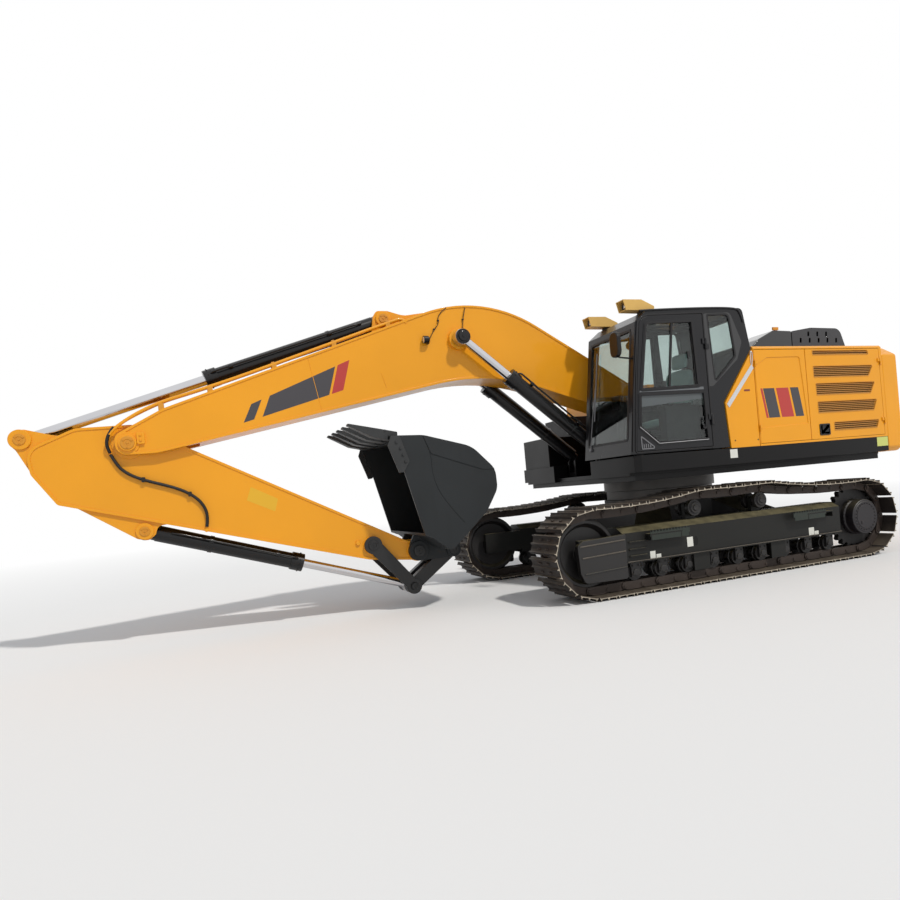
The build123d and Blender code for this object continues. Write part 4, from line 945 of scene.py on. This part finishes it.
def make_bucket():
    """Bucket of bent plate with side plates, wear plates, cutters, ears and five teeth."""
    k = BUCKET_PIN
    side = corners(from_mm([(350, 1265, 0), (-10, 1253, 400), (-547, 1102, 350), (-802, 838, 200), (-808, 618, 200),
                            (-660, 379, 250), (-218, -5, 60), (-30, 150, 0), (60, 190, 0), (230, 900, 0)], k), 10)
    mouth = from_mm([(200, 1237), (450, 1237), (330, 900), (250, 215), (0, 215), (-60, 600)], k)
    wear = corners(from_mm([(-5, 1248, 0), (-78, 1050, 30), (-655, 840, 30), (-790, 838, 0), (-546, 1095, 340)], k), 8)
    ear = (from_mm([(-80, 20), (-55, -62), (25, -84)], EAR_PIN)
           + from_mm([(20, -112), (112, -20), (90, 90), (30, 210), (-210, 120), (-460, 260), (-520, 265)], k))
    room = [prism(outline, -BUCKET_ROOM, BUCKET_ROOM) for outline in (inset(side, BUCKET_HALF - BUCKET_ROOM), mouth)]
    parts = [rounded(cut(prism(side, -BUCKET_HALF, BUCKET_HALF), *room), 0.004),
             *twin_plates(wear, 0.729, 0.739, 0.003), *twin_plates(ear, 0.173, 0.213, 0.005),
             *bosses((EAR_PIN, 0.084, 0.17, 0.235), (k, 0.112, 0.17, 0.235))]
    seam = [(3.414, 1.834), (3.368, 1.689), (3.375, 1.462), (3.281, 1.196), (3.062, 0.93)]
    show("bucket_form", parts, bucket_paint, "bucket", stands_for=["bucket"])
    show("bucket_seams", [level_tube(s * 0.7305, seam, 0.004) for s in SIDES], bucket_paint, "bucket")
    edge = from_mm([(250, 1272), (250, 1305), (450, 1350), (750, 1420), (760, 1400), (510, 1265), (330, 1222),
                    (250, 1226)], k)
    lip = from_mm([(150, 1228), (351, 1236.7), (351, 1266), (150, 1266)], k)
    bolts = [bolt((x, s * 0.752, z), (0, s, 0), 0.02) for s in SIDES
             for x, z in ((3.74, 1.83), (3.703, 1.765), (3.681, 1.694), (3.659, 1.623))]
    teeth = []
    for i in range(TOOTH_COUNT):
        y = (i - (TOOTH_COUNT - 1) / 2) * TOOTH_PITCH
        form = bmesh.new()
        form.from_mesh(cut(prism(edge, y - TOOTH_HALF, y + TOOTH_HALF), prism(lip, y - 0.08, y + 0.08)))
        for v in form.verts:
            share = max(0, v.co.x - TOOTH_ROOT) / TOOTH_REACH
            v.co.y = y + (v.co.y - y) * (1 - TOOTH_TAPER * share)
        teeth.append(rounded(mesh_of(form), 0.006))
        bolts.append(boss((3830, 1962), 0.014, y - 0.08, y + 0.08))
    cutter = from_mm([(250, 1258), (345, 1258), (382, 1160), (285, 870), (235, 875), (165, 985)], k)
    teeth += twin_plates(cutter, 0.7303, 0.752, 0.004)
    show("bucket_cutters", teeth, tooth_black, "bucket", stands_for=["bucket_teeth"])
    show("bucket_bolts", bolts, tooth_black, "bucket")


# Pin ends: name, place, half width to the face, radius, body, whether dark
PIN_ENDS = [
    ("boom_foot", BOOM_FOOT, 0.326, 0.085, "upper", False),
    ("cylinder_foot", BOOM_CYL_FOOT, 0.456, 0.052, "upper", True),
    ("boom_tip", BOOM_TIP, 0.278, 0.062, "boom", False),
    ("arm_cylinder_foot", ARM_CYL_FOOT, 0.159, 0.052, "boom", False),
    ("arm_tail", ARM_TAIL, 0.156, 0.052, "arm", False),
    ("bucket_cylinder_foot", BUCKET_CYL_FOOT, 0.156, 0.048, "arm", False),
    ("rocker", ROCKER_PIN, 0.215, 0.056, "arm", True),
    ("bucket_pin", BUCKET_PIN, 0.245, 0.062, "arm", True),
    ("ear", EAR_PIN, 0.235, 0.05, "bucket", True),
    ("link", LINK_PIN, 0.223, 0.038, body_of_node["bucket_link"], True),
]


def make_pin_ends():
    """Stepped cap with its bolts at each end of each pin, the cylinder eyes' caps and the boom tip's keepers."""
    for name, at, face, radius, body, dark in PIN_ENDS:
        x, z = at[0] / 1000, at[1] / 1000
        profile = [(0, radius), (0.008, radius), (0.011, radius * 0.94), (0.011, radius * 0.55), (0.006, radius * 0.5),
                   (0.006, radius * 0.2), (0.014, radius * 0.16)]
        parts = []
        for s in SIDES:
            across = (0, s, 0)
            parts.append(lathe(profile, (x, s * face, z), across, 40))
            spots = circle_of((x, z), s * (face + 0.011), radius * 0.75, 3, 0.6)
            parts += [bolt(spot, across, radius * 0.17) for spot in spots]
        show("pin_end_" + name, parts, link_black if dark else yellow_dark, body,
             slot="body_black" if dark else "body_yellow")
    profile = [(0, 0.085), (0.016, 0.085), (0.02, 0.081), (0.02, 0.06), (0.032, 0.058), (0.034, 0.054), (0.034, 0.02),
               (0.04, 0.018)]
    x, z = BOOM_CYL_EYE[0] / 1000, BOOM_CYL_EYE[1] / 1000
    caps, keepers = [], []
    for s in SIDES:
        across = (0, s, 0)
        caps.append(lathe(profile, (x, s * 0.418, z), across, 48))
        caps += [bolt(spot, across, 0.01) for spot in circle_of((x, z), s * 0.438, 0.071, 6)]
        keepers.append(rounded(prism(pad(6.1, 6.17, 2, 2.115, 0.012, 3), s * 0.238, s * 0.27), 0.003))
        keepers += [bolt((6.135, s * 0.27, height), across, 0.016) for height in (2.035, 2.085)]
    show("boom_cylinder_caps", caps, cylinder_black, body_of_node["boom_cylinder_rods"])
    show("tip_keepers", keepers, yellow, "boom")


def make_cylinder_trim():
    """Gland bolts, oil pipes and pipe clamps on the cylinder barrels."""
    for name, foot, eye, radius, gland, widths, node, lean in (
            ("boom", BOOM_CYL_FOOT, BOOM_CYL_EYE, 0.085, 1.656, (-0.36, 0.36), "boom_cylinder_barrels", 0.7),
            ("arm", ARM_CYL_FOOT, ARM_TAIL, 0.084, 2, (0,), "arm_cylinder_barrel", 1.2),
            ("bucket", BUCKET_CYL_FOOT, LINK_PIN, 0.082, 1.57, (0,), "bucket_cylinder_barrel", 1.2)):
        foot = Vector((foot[0], 0, foot[1])) / 1000
        axis = (Vector((eye[0], 0, eye[1])) / 1000 - foot).normalized()
        up = Vector((-axis.z, 0, axis.x)) * (1 if axis.x > 0 else -1)
        parts = []
        for y in widths:
            base = foot + Vector((0, y, 0))
            across = Vector((0, 1 if y >= 0 else -1, 0))
            side = up * math.cos(lean) + across * math.sin(lean)
            for k in range(GLAND_BOLTS):
                a = 2 * math.pi * k / GLAND_BOLTS
                ray = up * math.cos(a) + across * math.sin(a)
                parts.append(bolt(base + axis * (gland - 0.045) + ray * (radius + 0.013), ray, 0.011))
            route = [(gland - 0.075, 0.004), (gland - 0.08, 0.034), (gland - 0.14, 0.036), (gland - 0.4, 0.03),
                     (0.42, 0.03), (0.3, 0.032), (0.24, 0.012)]
            parts.append(tube([base + axis * along + side * (radius + away) for along, away in route], 0.011))
            for along in (gland - 0.3, 0.6):
                parts.append(lathe([(0, 0.021), (0.003, 0.023), (0.037, 0.023), (0.04, 0.021)],
                                   base + axis * along + side * (radius + 0.024), axis, 20))
            band = lathe([(0, radius + 0.004), (0.004, radius + 0.006), (0.036, radius + 0.006),
                          (0.04, radius + 0.004)], base + axis * 0.6, axis, 40)
            barrel = lathe([(0, radius - 0.004), (0.06, radius - 0.004)], base + axis * 0.59, axis, 40)
            parts.append(cut(band, barrel))
        show(name + "_cylinder_trim", parts, cylinder_black, body_of_node[node])


# Housing

BODY_SIDE = 1.47
DOOR_SPLIT = -1.245
BEAM_TOP = 1.475
DOOR_HEIGHTS = (1.504, 2.608)
DOOR_HEADS = (2.4, 2.614)
ROOF_DEPTHS = (2.6, 2.7)
HINGE_HEIGHTS = (1.68, 2.44)
LABEL_DEPTHS = (1.4695, 1.4712)
SLAT_PITCH = 0.022
SLOT_PITCH = 0.158
HOOD_RIGHT = -0.86
HOOD_LEFT = 1.0
HOOD_PLATE = 0.016
COVER_SPLIT = 0.6
# Air grilles: distances back from the split to the front edge and to the rear corners, low and high above the beam
LOUVRES = [
    (0.125, 1.08, 1.062, 1.062, 1.112), (0.12, 1.053, 1.138, 0.787, 0.92), (0.142, 1.066, 1.152, 0.568, 0.708),
    (0.149, 1.101, 1.165, 0.348, 0.483), (0.395, 1.133, 1.176, 0.123, 0.221),
]


def make_housing():
    """Housing with its door openings carried up to the roof, and the roof open under the hood."""
    openings = [box(-2.515, -0.443, 1.43, 1.49, *DOOR_HEADS), box(-2.515, -1.29, -1.49, -1.43, *DOOR_HEADS),
                box(-1.345, -0.815, 0.585, 1.012, *ROOF_DEPTHS), box(-1.345, -1.255, -0.87, 0.6, *ROOF_DEPTHS)]
    body = cut(mesh_of(node_form("engine_housing")), *openings)
    show("housing_form", rounded(body, 0.004), yellow, "upper", stands_for=["engine_housing"])


def grille_outline(row, grow=0.0):
    """Side view corners of one air grille."""
    front, rear_low, rear_top, low, top = row
    rows = [(DOOR_SPLIT - front, BEAM_TOP + low, 0.01), (DOOR_SPLIT - front, BEAM_TOP + top, 0.01),
            (DOOR_SPLIT - rear_top, BEAM_TOP + top, 0.01), (DOOR_SPLIT - rear_low, BEAM_TOP + low, 0.01)]
    return inset(corners(rows, 3), -grow)


def knuckles(x, side, reach):
    """Hinge knuckles of a side door."""
    out = []
    for z in HINGE_HEIGHTS:
        out.append(lathe([(0.0003, 0.007), (0.002, 0.008), (0.038, 0.008), (0.04, 0.007)], (x, side * 1.484, z),
                         (0, 0, 1), 20))
        x0, x1 = sorted((x, x + reach))
        out.append(box(x0, x1, side * 1.468, side * 1.483, z + 0.0003, z + 0.04))
    return out


def slat(x0, x1, z):
    """Sloping slat of a louvre."""
    form = bmesh.new()
    section = ((1.468, z - 0.009), (1.468, z - 0.003), (1.444, z + 0.009), (1.444, z + 0.003))
    first, last = ([form.verts.new((x, *at)) for at in section] for x in (x0, x1))
    form.faces.new(first)
    form.faces.new(last[::-1])
    for i in range(len(section)):
        form.faces.new((first[i - 1], first[i], last[i], last[i - 1]))
    return rounded(mesh_of(form), 0.001, 1)


def make_doors():
    """Louvred rear door and the pressed side doors, with latches."""
    leaf = box(-2.511, -1.248, 1.44, BODY_SIDE, *DOOR_HEIGHTS)
    leaf = cut(leaf, *[prism(grille_outline(row), 1.43, 1.48) for row in LOUVRES])
    body = body_of_node["louvre_door"]
    show("louvre_leaf", [rounded(leaf, 0.004), *knuckles(-2.513, 1, 0.04)], yellow, body, stands_for=["louvre_door"])
    slats, frames, shade_sheets = [], [], []
    for row in LOUVRES:
        front, rear_low, rear_top, low, top = row
        count = int((top - low) / SLAT_PITCH)
        for k in range(count):
            share = (k + 0.5) / count
            rear = DOOR_SPLIT - (rear_low + (rear_top - rear_low) * share)
            slats.append(slat(DOOR_SPLIT - front + 0.002, rear - 0.002, BEAM_TOP + low + (top - low) * share))
        frames.append(ring(grille_outline(row, 0.01), grille_outline(row, -0.001), 1.4695, 1.4725))
        # A dark sheet behind each grille stands for the shade seen between the slats: painted shade.
        shade_sheets.append(prism(grille_outline(row, 0.006), 1.436, 1.4395))
    # The slats take a brown, darkened yellow as painted shade.
    show("louvre_slats", slats, shaded_slat_yellow, body)
    show("louvre_frames", rounded(merged(frames), 0.0012, 1), yellow_dark, body)
    show("louvre_shade_sheets", shade_sheets, painted_louvre_shade, body)
    z0, z1 = 1.705, 2.52
    for s, x0, x1, node, axis_x, reach in ((1, -1.242, -0.447, "left_service_door", -0.445, -0.04),
                                           (-1, -2.511, -1.294, "right_service_door", -2.513, 0.04)):
        field = corners([(x0 + 0.03, z0, 0.015), (x1 - 0.03, z0 - 0.02, 0.015), (x1 - 0.03, z1 - 0.095, 0.05),
                         (x1 - 0.19, z1 - 0.006, 0.05), (x0 + 0.09, z1, 0.03)])
        leaf = cut(box(x0, x1, s * 1.44, s * BODY_SIDE, *DOOR_HEIGHTS), prism(field, s * 1.461, s * 1.48))
        show(node + "_form", [rounded(leaf, 0.005, 3), *knuckles(axis_x, s, reach)], yellow, body_of_node[node],
             stands_for=[node])
    rim = pad(-1.555, -1.385, 1.547, 1.687, 0.014, 4)
    for name, s, node in (("rear", 1, "louvre_door"), ("right", -1, "right_service_door")):
        parts = [rounded(prism(rim, s * 1.469, s * 1.474), 0.002),
                 rounded(rim_of(rim, 0, 0.016, s * 1.472, s * 1.479), 0.002),
                 rounded(prism(inset(rim, 0.038), s * 1.472, s * 1.482), 0.004)]
        show("latch_" + name, parts, plastic, body_of_node[node])


def make_hood():
    """Raised cover over the engine with its slots, and the glossy part ahead of it."""
    front, rear, top, z0 = -1.556, -2.5, 2.985, 2.654
    outline = corners([(front, z0, 0), (front, top - 0.045, 0.02), (front - 0.33, top + 0.002, 0.3),
                       (rear + 0.095, top - 0.005, 0.12), (rear, z0 + 0.06, 0.1), (rear, z0, 0)], 8)
    inner = [(x, z - (0.03 if z < z0 + 0.05 else 0)) for x, z in inset(outline, HOOD_PLATE)]
    room = prism(inner, HOOD_RIGHT + HOOD_PLATE, HOOD_LEFT - HOOD_PLATE)
    slots = []
    for first, count, low in ((0.125, 5, 2.79), (0.268, 3, 2.874)):
        for i in range(count):
            x = front - first - SLOT_PITCH * i
            slot = corners([(x, low, 0.008), (x - 0.008, low + 0.062, 0.008), (x - 0.04, low + 0.062, 0.008),
                            (x - 0.032, low, 0.008)], 3)
            slots.append(prism(slot, -0.9, 1.05))
    body = cut(prism(outline, HOOD_RIGHT, HOOD_LEFT), room, *slots)
    hood = body_of_node["engine_hood"]
    show("hood_form", rounded(body, 0.014, 3), hood_grey, hood, stands_for=["engine_hood"])
    left = corners([(-1.55, z0, 0), (-1.55, 2.945, 0.015), (-1.252, 2.953, 0.15), (-0.982, 2.835, 0.2),
                    (-0.852, 2.724, 0.06), (-0.842, z0, 0)], 8)
    right = corners([(-1.55, z0, 0), (-1.55, 2.945, 0.015), (-1.45, 2.947, 0.06), (-1.312, 2.76, 0.06),
                     (-1.296, z0, 0)], 8)
    parts = [rounded(prism(left, COVER_SPLIT, HOOD_LEFT), 0.014, 3),
             rounded(prism(right, HOOD_RIGHT, COVER_SPLIT), 0.014, 3)]
    show("hood_front_cover", parts, gloss_black, hood)
    show("hood_tab", box(-1.33, -1.24, 0.985, 1.008, 2.952, 2.99), yellow_dark, hood, 0.003)


def make_housing_trim():
    """Bright strip, bands, blank labels and holes of the housing, and the band on the boom."""
    strip = [(-0.398, 2.44), (0.014, 1.985), (-0.018, 1.942), (-0.425, 2.392)]
    show("panel_strip", prism(strip, 1.466, 1.472), trim_silver, "upper", 0.001)
    loop = level_tube(1.472, [(-0.405, 2.43), (-0.416, 2.5), (-0.418, 2.585), (-0.392, 2.59), (-0.388, 2.5),
                              (-0.39, 2.44)], 0.005)
    show("panel_strap", loop, trim_silver, "upper")
    show("panel_slot", prism(pad(-0.256, -0.345, 2.124, 2.146, 0.009, 4), 1.4665, 1.4685), oxide, "upper")
    # Small dark discs on the panel: painted shade of its holes.
    holes = [lathe([(0, 0.009), (0.001, 0.009)], (x, 1.467, z), segments=20)
             for x, z in ((-0.065, 1.56), (-0.406, 1.553))]
    show("panel_holes", holes, painted_hole_shade, "upper")
    side = body_of_node["left_service_door"]
    for name, material, rows in (("dark", band_dark, ((-1.16, 0.13), (-0.78, 0.17))),
                                 ("red", band_red, ((-1, 0.19), (-0.6, 0.03)))):
        parts = [prism([(x, 1.8), (x + w, 1.8), (x + w + 0.06, 2.15), (x + 0.06, 2.15)], 1.4605, 1.462)
                 for x, w in rows]
        show("door_bars_" + name, parts, material, side)
    show("label_beam", box(-0.08, 0.027, *LABEL_DEPTHS, 1.362, 1.462), label_white, "upper", slot="body_black")
    show("label_tail", box(-2.55, -2.354, *LABEL_DEPTHS, 1.354, 1.47), label_green, "upper")
    for name, material, rows in (
            ("boom_band", band_dark, [(4.9, 2.43), (4.2, 2.724), (4.29, 2.42), (4.99, 2.215)]),
            ("boom_band_end", band_red, [(4.172, 2.736), (4.04, 2.792), (4.135, 2.466), (4.262, 2.428)]),
            ("boom_band_tip", band_dark, [(5.09, 2.35), (4.985, 2.394), (5.075, 2.192), (5.18, 2.162)])):
        show(name, prism(rows, 0.2395, 0.2412), material, "boom")


# Cab fittings

def front_plane(mesh):
    """Mesh drawn upright, laid on the sloping front of the cab."""
    foot = Vector((1.362, 0, 1.49))
    up = (Vector((1.169, 0, 2.925)) - foot).normalized()
    ahead = Vector((up.z, 0, -up.x))
    turn = Matrix((Vector((0, 1, 0)), ahead, up)).transposed().to_4x4()
    mesh.transform(Matrix.Translation(foot) @ turn)
    return mesh


def cab_screen():
    """Seal and wiper of the windscreen, and the inner mirror."""
    edge = corners([(0.54, 0.152, 0.03), (1.392, 0.152, 0.03), (1.392, 1.382, 0.05), (0.54, 1.382, 0.05)])
    show("screen_seal", front_plane(rim_of(edge, -0.006, 0.022, -0.02, 0.004)), seal, "upper", 0.002)
    wiper = [tube([(0.62, 0.01, 0.12), (0.64, 0.022, 0.4), (0.7, 0.016, 0.85)], 0.006),
             tube([(0.69, 0.012, 0.45), (0.705, 0.012, 1.25)], 0.007, True),
             lathe([(0, 0.024), (0.018, 0.022), (0.022, 0.016)], (0.62, 0.002, 0.115), segments=20)]
    show("wiper", front_plane(merged(wiper)), trim_grey, "upper")
    mirror = [lathe([(0, 0.04), (0.01, 0.046), (0.02, 0.04)], (1.15, 1.3, 2.7), (-0.8, -0.6, 0), 24),
              tube([(1.15, 1.3, 2.7), (1.18, 1.33, 2.76), (1.16, 1.37, 2.8)], 0.006)]
    show("inner_mirror", mirror, plastic, "upper")


def cab_roof():
    """Work lamps under visors, roof hatch and rear pane."""
    visor = corners(from_mm([(1240, 3190, 0), (1000, 3194, 40), (825, 3118, 20), (855, 3072, 10), (1210, 3074, 0)]))
    foot = [(0.905, 3.0515), (0.995, 3.0475), (0.995, 3.078), (0.905, 3.078)]
    ahead = (1, 0, 0)
    lamps, inside, lenses, feet = [], [], [], []
    for y in (1.307, 0.56):
        body = cut(prism(visor, y - 0.075, y + 0.075), box(1.13, 1.25, y - 0.064, y + 0.064, 3.084, 3.178))
        lamps.append(rounded(body, 0.003))
        inside.append(lathe([(0, 0.044), (0.05, 0.046), (0.06, 0.044), (0.056, 0.04)], (1.125, y, 3.13), ahead))
        lenses.append(lathe([(0, 0.042), (0.004, 0.034), (0.006, 0.01)], (1.176, y, 3.13), ahead))
        feet.append(rounded(prism(foot, y - 0.04, y + 0.04), 0.003))
    show("roof_visors", lamps, visor_tan, "upper")
    show("roof_lamps", inside + feet, plastic, "upper")
    show("roof_lenses", lenses, lens, "upper", slot="cab_plastic")
    hatch = [(0.123, 3.06), (0.123, 3.09), (0.3, 3.092), (0.897, 3.0535), (0.897, 3.0235), (0.3, 3.062)]
    show("roof_hatch", prism(hatch, 0.707, 1.225), cab_black, "upper", 0.006)
    rear = [(-0.394, 2.678), (-0.386, 2.678), (-0.3305, 3.002), (-0.3385, 3.002)]
    show("rear_pane", prism(rear, 0.563, 1.369), pane, "upper")


def crosswise(outline, low, high, x, side):
    """Plate drawn in the y and z view, ahead of a place or behind it."""
    mesh = prism(outline, low, high)
    mesh.transform(Matrix(((0, side, 0, x), (1, 0, 0, 0), (0, 0, 1, 0), (0, 0, 0, 1))))
    form = bmesh.new()
    form.from_mesh(mesh)
    return mesh_of(form)


def cab_mirror():
    """Side mirror on its arm at the door."""
    x, y, z = 1.465, 1.5, 2.665
    route = [(1.212, y - 0.075, z - 0.135), (x - 0.12, y - 0.03, z - 0.132), (x, y, z - 0.13), (x, y, z - 0.06)]
    edge = pad(y - 0.082, y + 0.082, z - 0.135, z + 0.135, 0.07, 8)
    parts = [rounded(crosswise(edge, -0.025, 0.025, x, 1), 0.012, 3), tube(route, 0.009),
             rounded(box(1.19, 1.226, 1.405, 1.445, z - 0.165, z - 0.105), 0.004)]
    show("side_mirror", parts, black, "upper")
    show("side_mirror_glass", crosswise(inset(edge, 0.012), 0.025, 0.027, x, -1), lens, "upper")


def cab_door():
    """Door leaf with raised frames round its panes, and the panes."""
    edge = inset(corners(DOOR_EDGE), 0.005)
    panes = [corners(rows) for rows in (DOOR_UPPER, DOOR_LOWER)]
    parts = [rounded(cut(prism(edge, 1.421, 1.463), *[prism(inner, 1.4, 1.49) for inner in panes]), 0.006)]
    parts += [rounded(rim_of(inner, -0.02, 0, 1.462, DOOR_FRAME_FACE), 0.002) for inner in panes]
    for z in CAB_HINGE_HEIGHTS:
        parts.append(lathe([(0.0603, 0.013), (0.062, 0.014), (0.118, 0.014), (0.12, 0.013)], (0.247, 1.478, z),
                           (0, 0, 1), 24))
        parts.append(box(0.247, 0.292, 1.455, 1.477, z + 0.0603, z + 0.12))
    show("door_form", parts, cab_black, body_of_node["cab_door"], stands_for=["cab_door"])
    show("door_panes", [prism(inset(inner, -0.004), 1.441, 1.449) for inner in panes], pane, body_of_node["cab_door"],
         stands_for=["cab_door_glass"])


def cab_inside():
    """Monitor, lever boots and console tops."""
    parts = [rounded(box(0.905, 0.945, 0.52, 0.72, 2.08, 2.24), 0.012, 3),
             tube([(0.88, 0.62, 2.0), (0.915, 0.62, 2.06), (0.922, 0.62, 2.12)], 0.012)]
    for s in SIDES:
        y = CAB_MIDDLE + s * 0.33
        rings = [(0.0, 0.05)]
        for k in range(5):
            rings += [(0.008 + 0.018 * k, 0.046 - 0.005 * k), (0.017 + 0.018 * k, 0.04 - 0.005 * k)]
        parts.append(lathe(rings, (0.74, y, 2.008), (0, 0, 1), 24))
        parts.append(rounded(box(0.42, 0.68, y - 0.055, y + 0.055, 2.01, 2.035), 0.008, 3))
    show("cab_console_tops", parts, plastic, "upper")


# CAD nodes with rounded edges

NODE_EDGE = 0.005
NODE_EDGES = {"cab_shell": 0.014, "counterweight": 0.02}
NODE_MATERIALS = {
    "cab_shell": cab_black, "final_drives": drive_black, "upper_frame": beam_black, "tool_box": beam_black,
    "rocker_links": link_black, "bucket_link": link_black, "boom_cylinder_barrels": cylinder_black,
    "arm_cylinder_barrel": cylinder_black, "bucket_cylinder_barrel": cylinder_black, "front_idlers": wheel_black,
    "drive_sprockets": wheel_black, "track_rollers": wheel_black, "carrier_rollers": wheel_black,
    "carbody": wheel_black,
}
REPLACED = ("track_left", "track_right", "operator_seat", "louvre_door", "left_service_door", "right_service_door",
            "engine_hood", "engine_housing", "boom", "arm", "bucket", "bucket_teeth", "cab_door", "cab_door_glass")


def make_nodes():
    """Materials and edges of the CAD nodes that are kept."""
    for name in frame["nodes"]:
        if name in REPLACED:
            continue
        if slot_of_node[name] == "cab_glass":
            frame["nodes"][name].data.materials.clear()
            frame["nodes"][name].data.materials.append(pane)
        else:
            edged(name, NODE_MATERIALS.get(name), NODE_EDGES.get(name, NODE_EDGE))


# Camera, floor and light

def make_camera():
    """Camera at the photograph's place, with its roll and its off-centre axis."""
    cos_pitch = math.cos(CAMERA_PITCH)
    ahead = Vector((cos_pitch * math.cos(CAMERA_YAW), cos_pitch * math.sin(CAMERA_YAW), math.sin(CAMERA_PITCH)))
    level = Vector((math.sin(CAMERA_YAW), -math.cos(CAMERA_YAW), 0))
    above = level.cross(ahead)
    right = math.cos(CAMERA_ROLL) * level + math.sin(CAMERA_ROLL) * above
    up = -math.sin(CAMERA_ROLL) * level + math.cos(CAMERA_ROLL) * above
    turn = Matrix((right, up, -ahead)).transposed()
    data = bpy.data.cameras.new("camera")
    data.sensor_width = SENSOR
    data.lens = FOCAL_PIXELS / IMAGE_SIZE * SENSOR
    data.shift_x = (IMAGE_SIZE / 2 - PRINCIPAL_POINT[0]) / IMAGE_SIZE
    data.shift_y = (PRINCIPAL_POINT[1] - IMAGE_SIZE / 2) / IMAGE_SIZE
    camera = linked("camera", data)
    camera.matrix_world = Matrix.Translation(CAMERA_PLACE) @ turn.to_4x4()
    bpy.context.scene.camera = camera


def make_floor():
    """Pale floor that turns to plain white far from the machine."""
    bpy.ops.mesh.primitive_circle_add(vertices=96, radius=FLOOR_RADIUS, fill_type="NGON", location=(0, 0, -0.001))
    floor = bpy.context.object
    floor.name = "floor"
    material, tree, shader = nodes_of("floor")
    shader.inputs["Base Color"].default_value = FLOOR_COLOUR
    shader.inputs["Roughness"].default_value = 0.9
    shader.inputs["Specular IOR Level"].default_value = 0.1
    white = add(tree, "Emission", values={"Strength": 1.0})
    here = add(tree, "TexCoord").outputs["Object"]
    reach = add(tree, "VectorMath", {0: here}, operation="LENGTH").outputs["Value"]
    blend = add(tree, "MixShader", {"Fac": ranged(tree, reach, *FLOOR_FADE, 0, 1), 1: shader.outputs["BSDF"],
                                    2: white.outputs["Emission"]})
    tree.links.new(blend.outputs["Shader"], tree.nodes["Material Output"].inputs["Surface"])
    floor.data.materials.append(material)


def make_light():
    """Sun from high on the left rear of the machine, and a plain sky that is seen as white."""
    data = bpy.data.lights.new("sun", "SUN")
    data.energy = SUN_STRENGTH
    data.angle = SUN_WIDTH
    data.color = SUN_COLOUR
    linked("sun", data).rotation_euler = SUN_FROM.to_track_quat("Z", "Y").to_euler()
    world = bpy.data.worlds.new("sky")
    world.use_nodes = True
    bpy.context.scene.world = world
    tree = world.node_tree
    plain = tree.nodes["Background"]
    plain.inputs["Color"].default_value = SKY_COLOUR
    plain.inputs["Strength"].default_value = SKY_STRENGTH
    seen = add(tree, "Background", values={"Color": (1, 1, 1, 1)})
    path = add(tree, "LightPath").outputs
    direct = add(tree, "Math", {0: path["Is Camera Ray"], 1: path["Is Glossy Ray"]}, operation="MAXIMUM")
    every = add(tree, "Math", {0: direct.outputs["Value"], 1: path["Is Transmission Ray"]}, operation="MAXIMUM")
    blend = add(tree, "MixShader", {"Fac": every.outputs["Value"], 1: plain.outputs["Background"],
                                    2: seen.outputs["Background"]})
    tree.links.new(blend.outputs["Shader"], tree.nodes["World Output"].inputs["Surface"])


make_camera()
make_hose()
for step in (make_nodes, make_housing, make_doors, make_hood, make_housing_trim, make_boom, boom_trim, make_arm,
             make_bucket, make_pin_ends, make_cylinder_trim, make_undercarriage, make_cab, cab_door, cab_screen,
             cab_roof, cab_mirror, cab_inside, make_seat):
    step()
make_track(1, "track_left")
make_track(-1, "track_right")
make_floor()
make_light()
bpy.context.scene.view_settings.view_transform = "Standard"
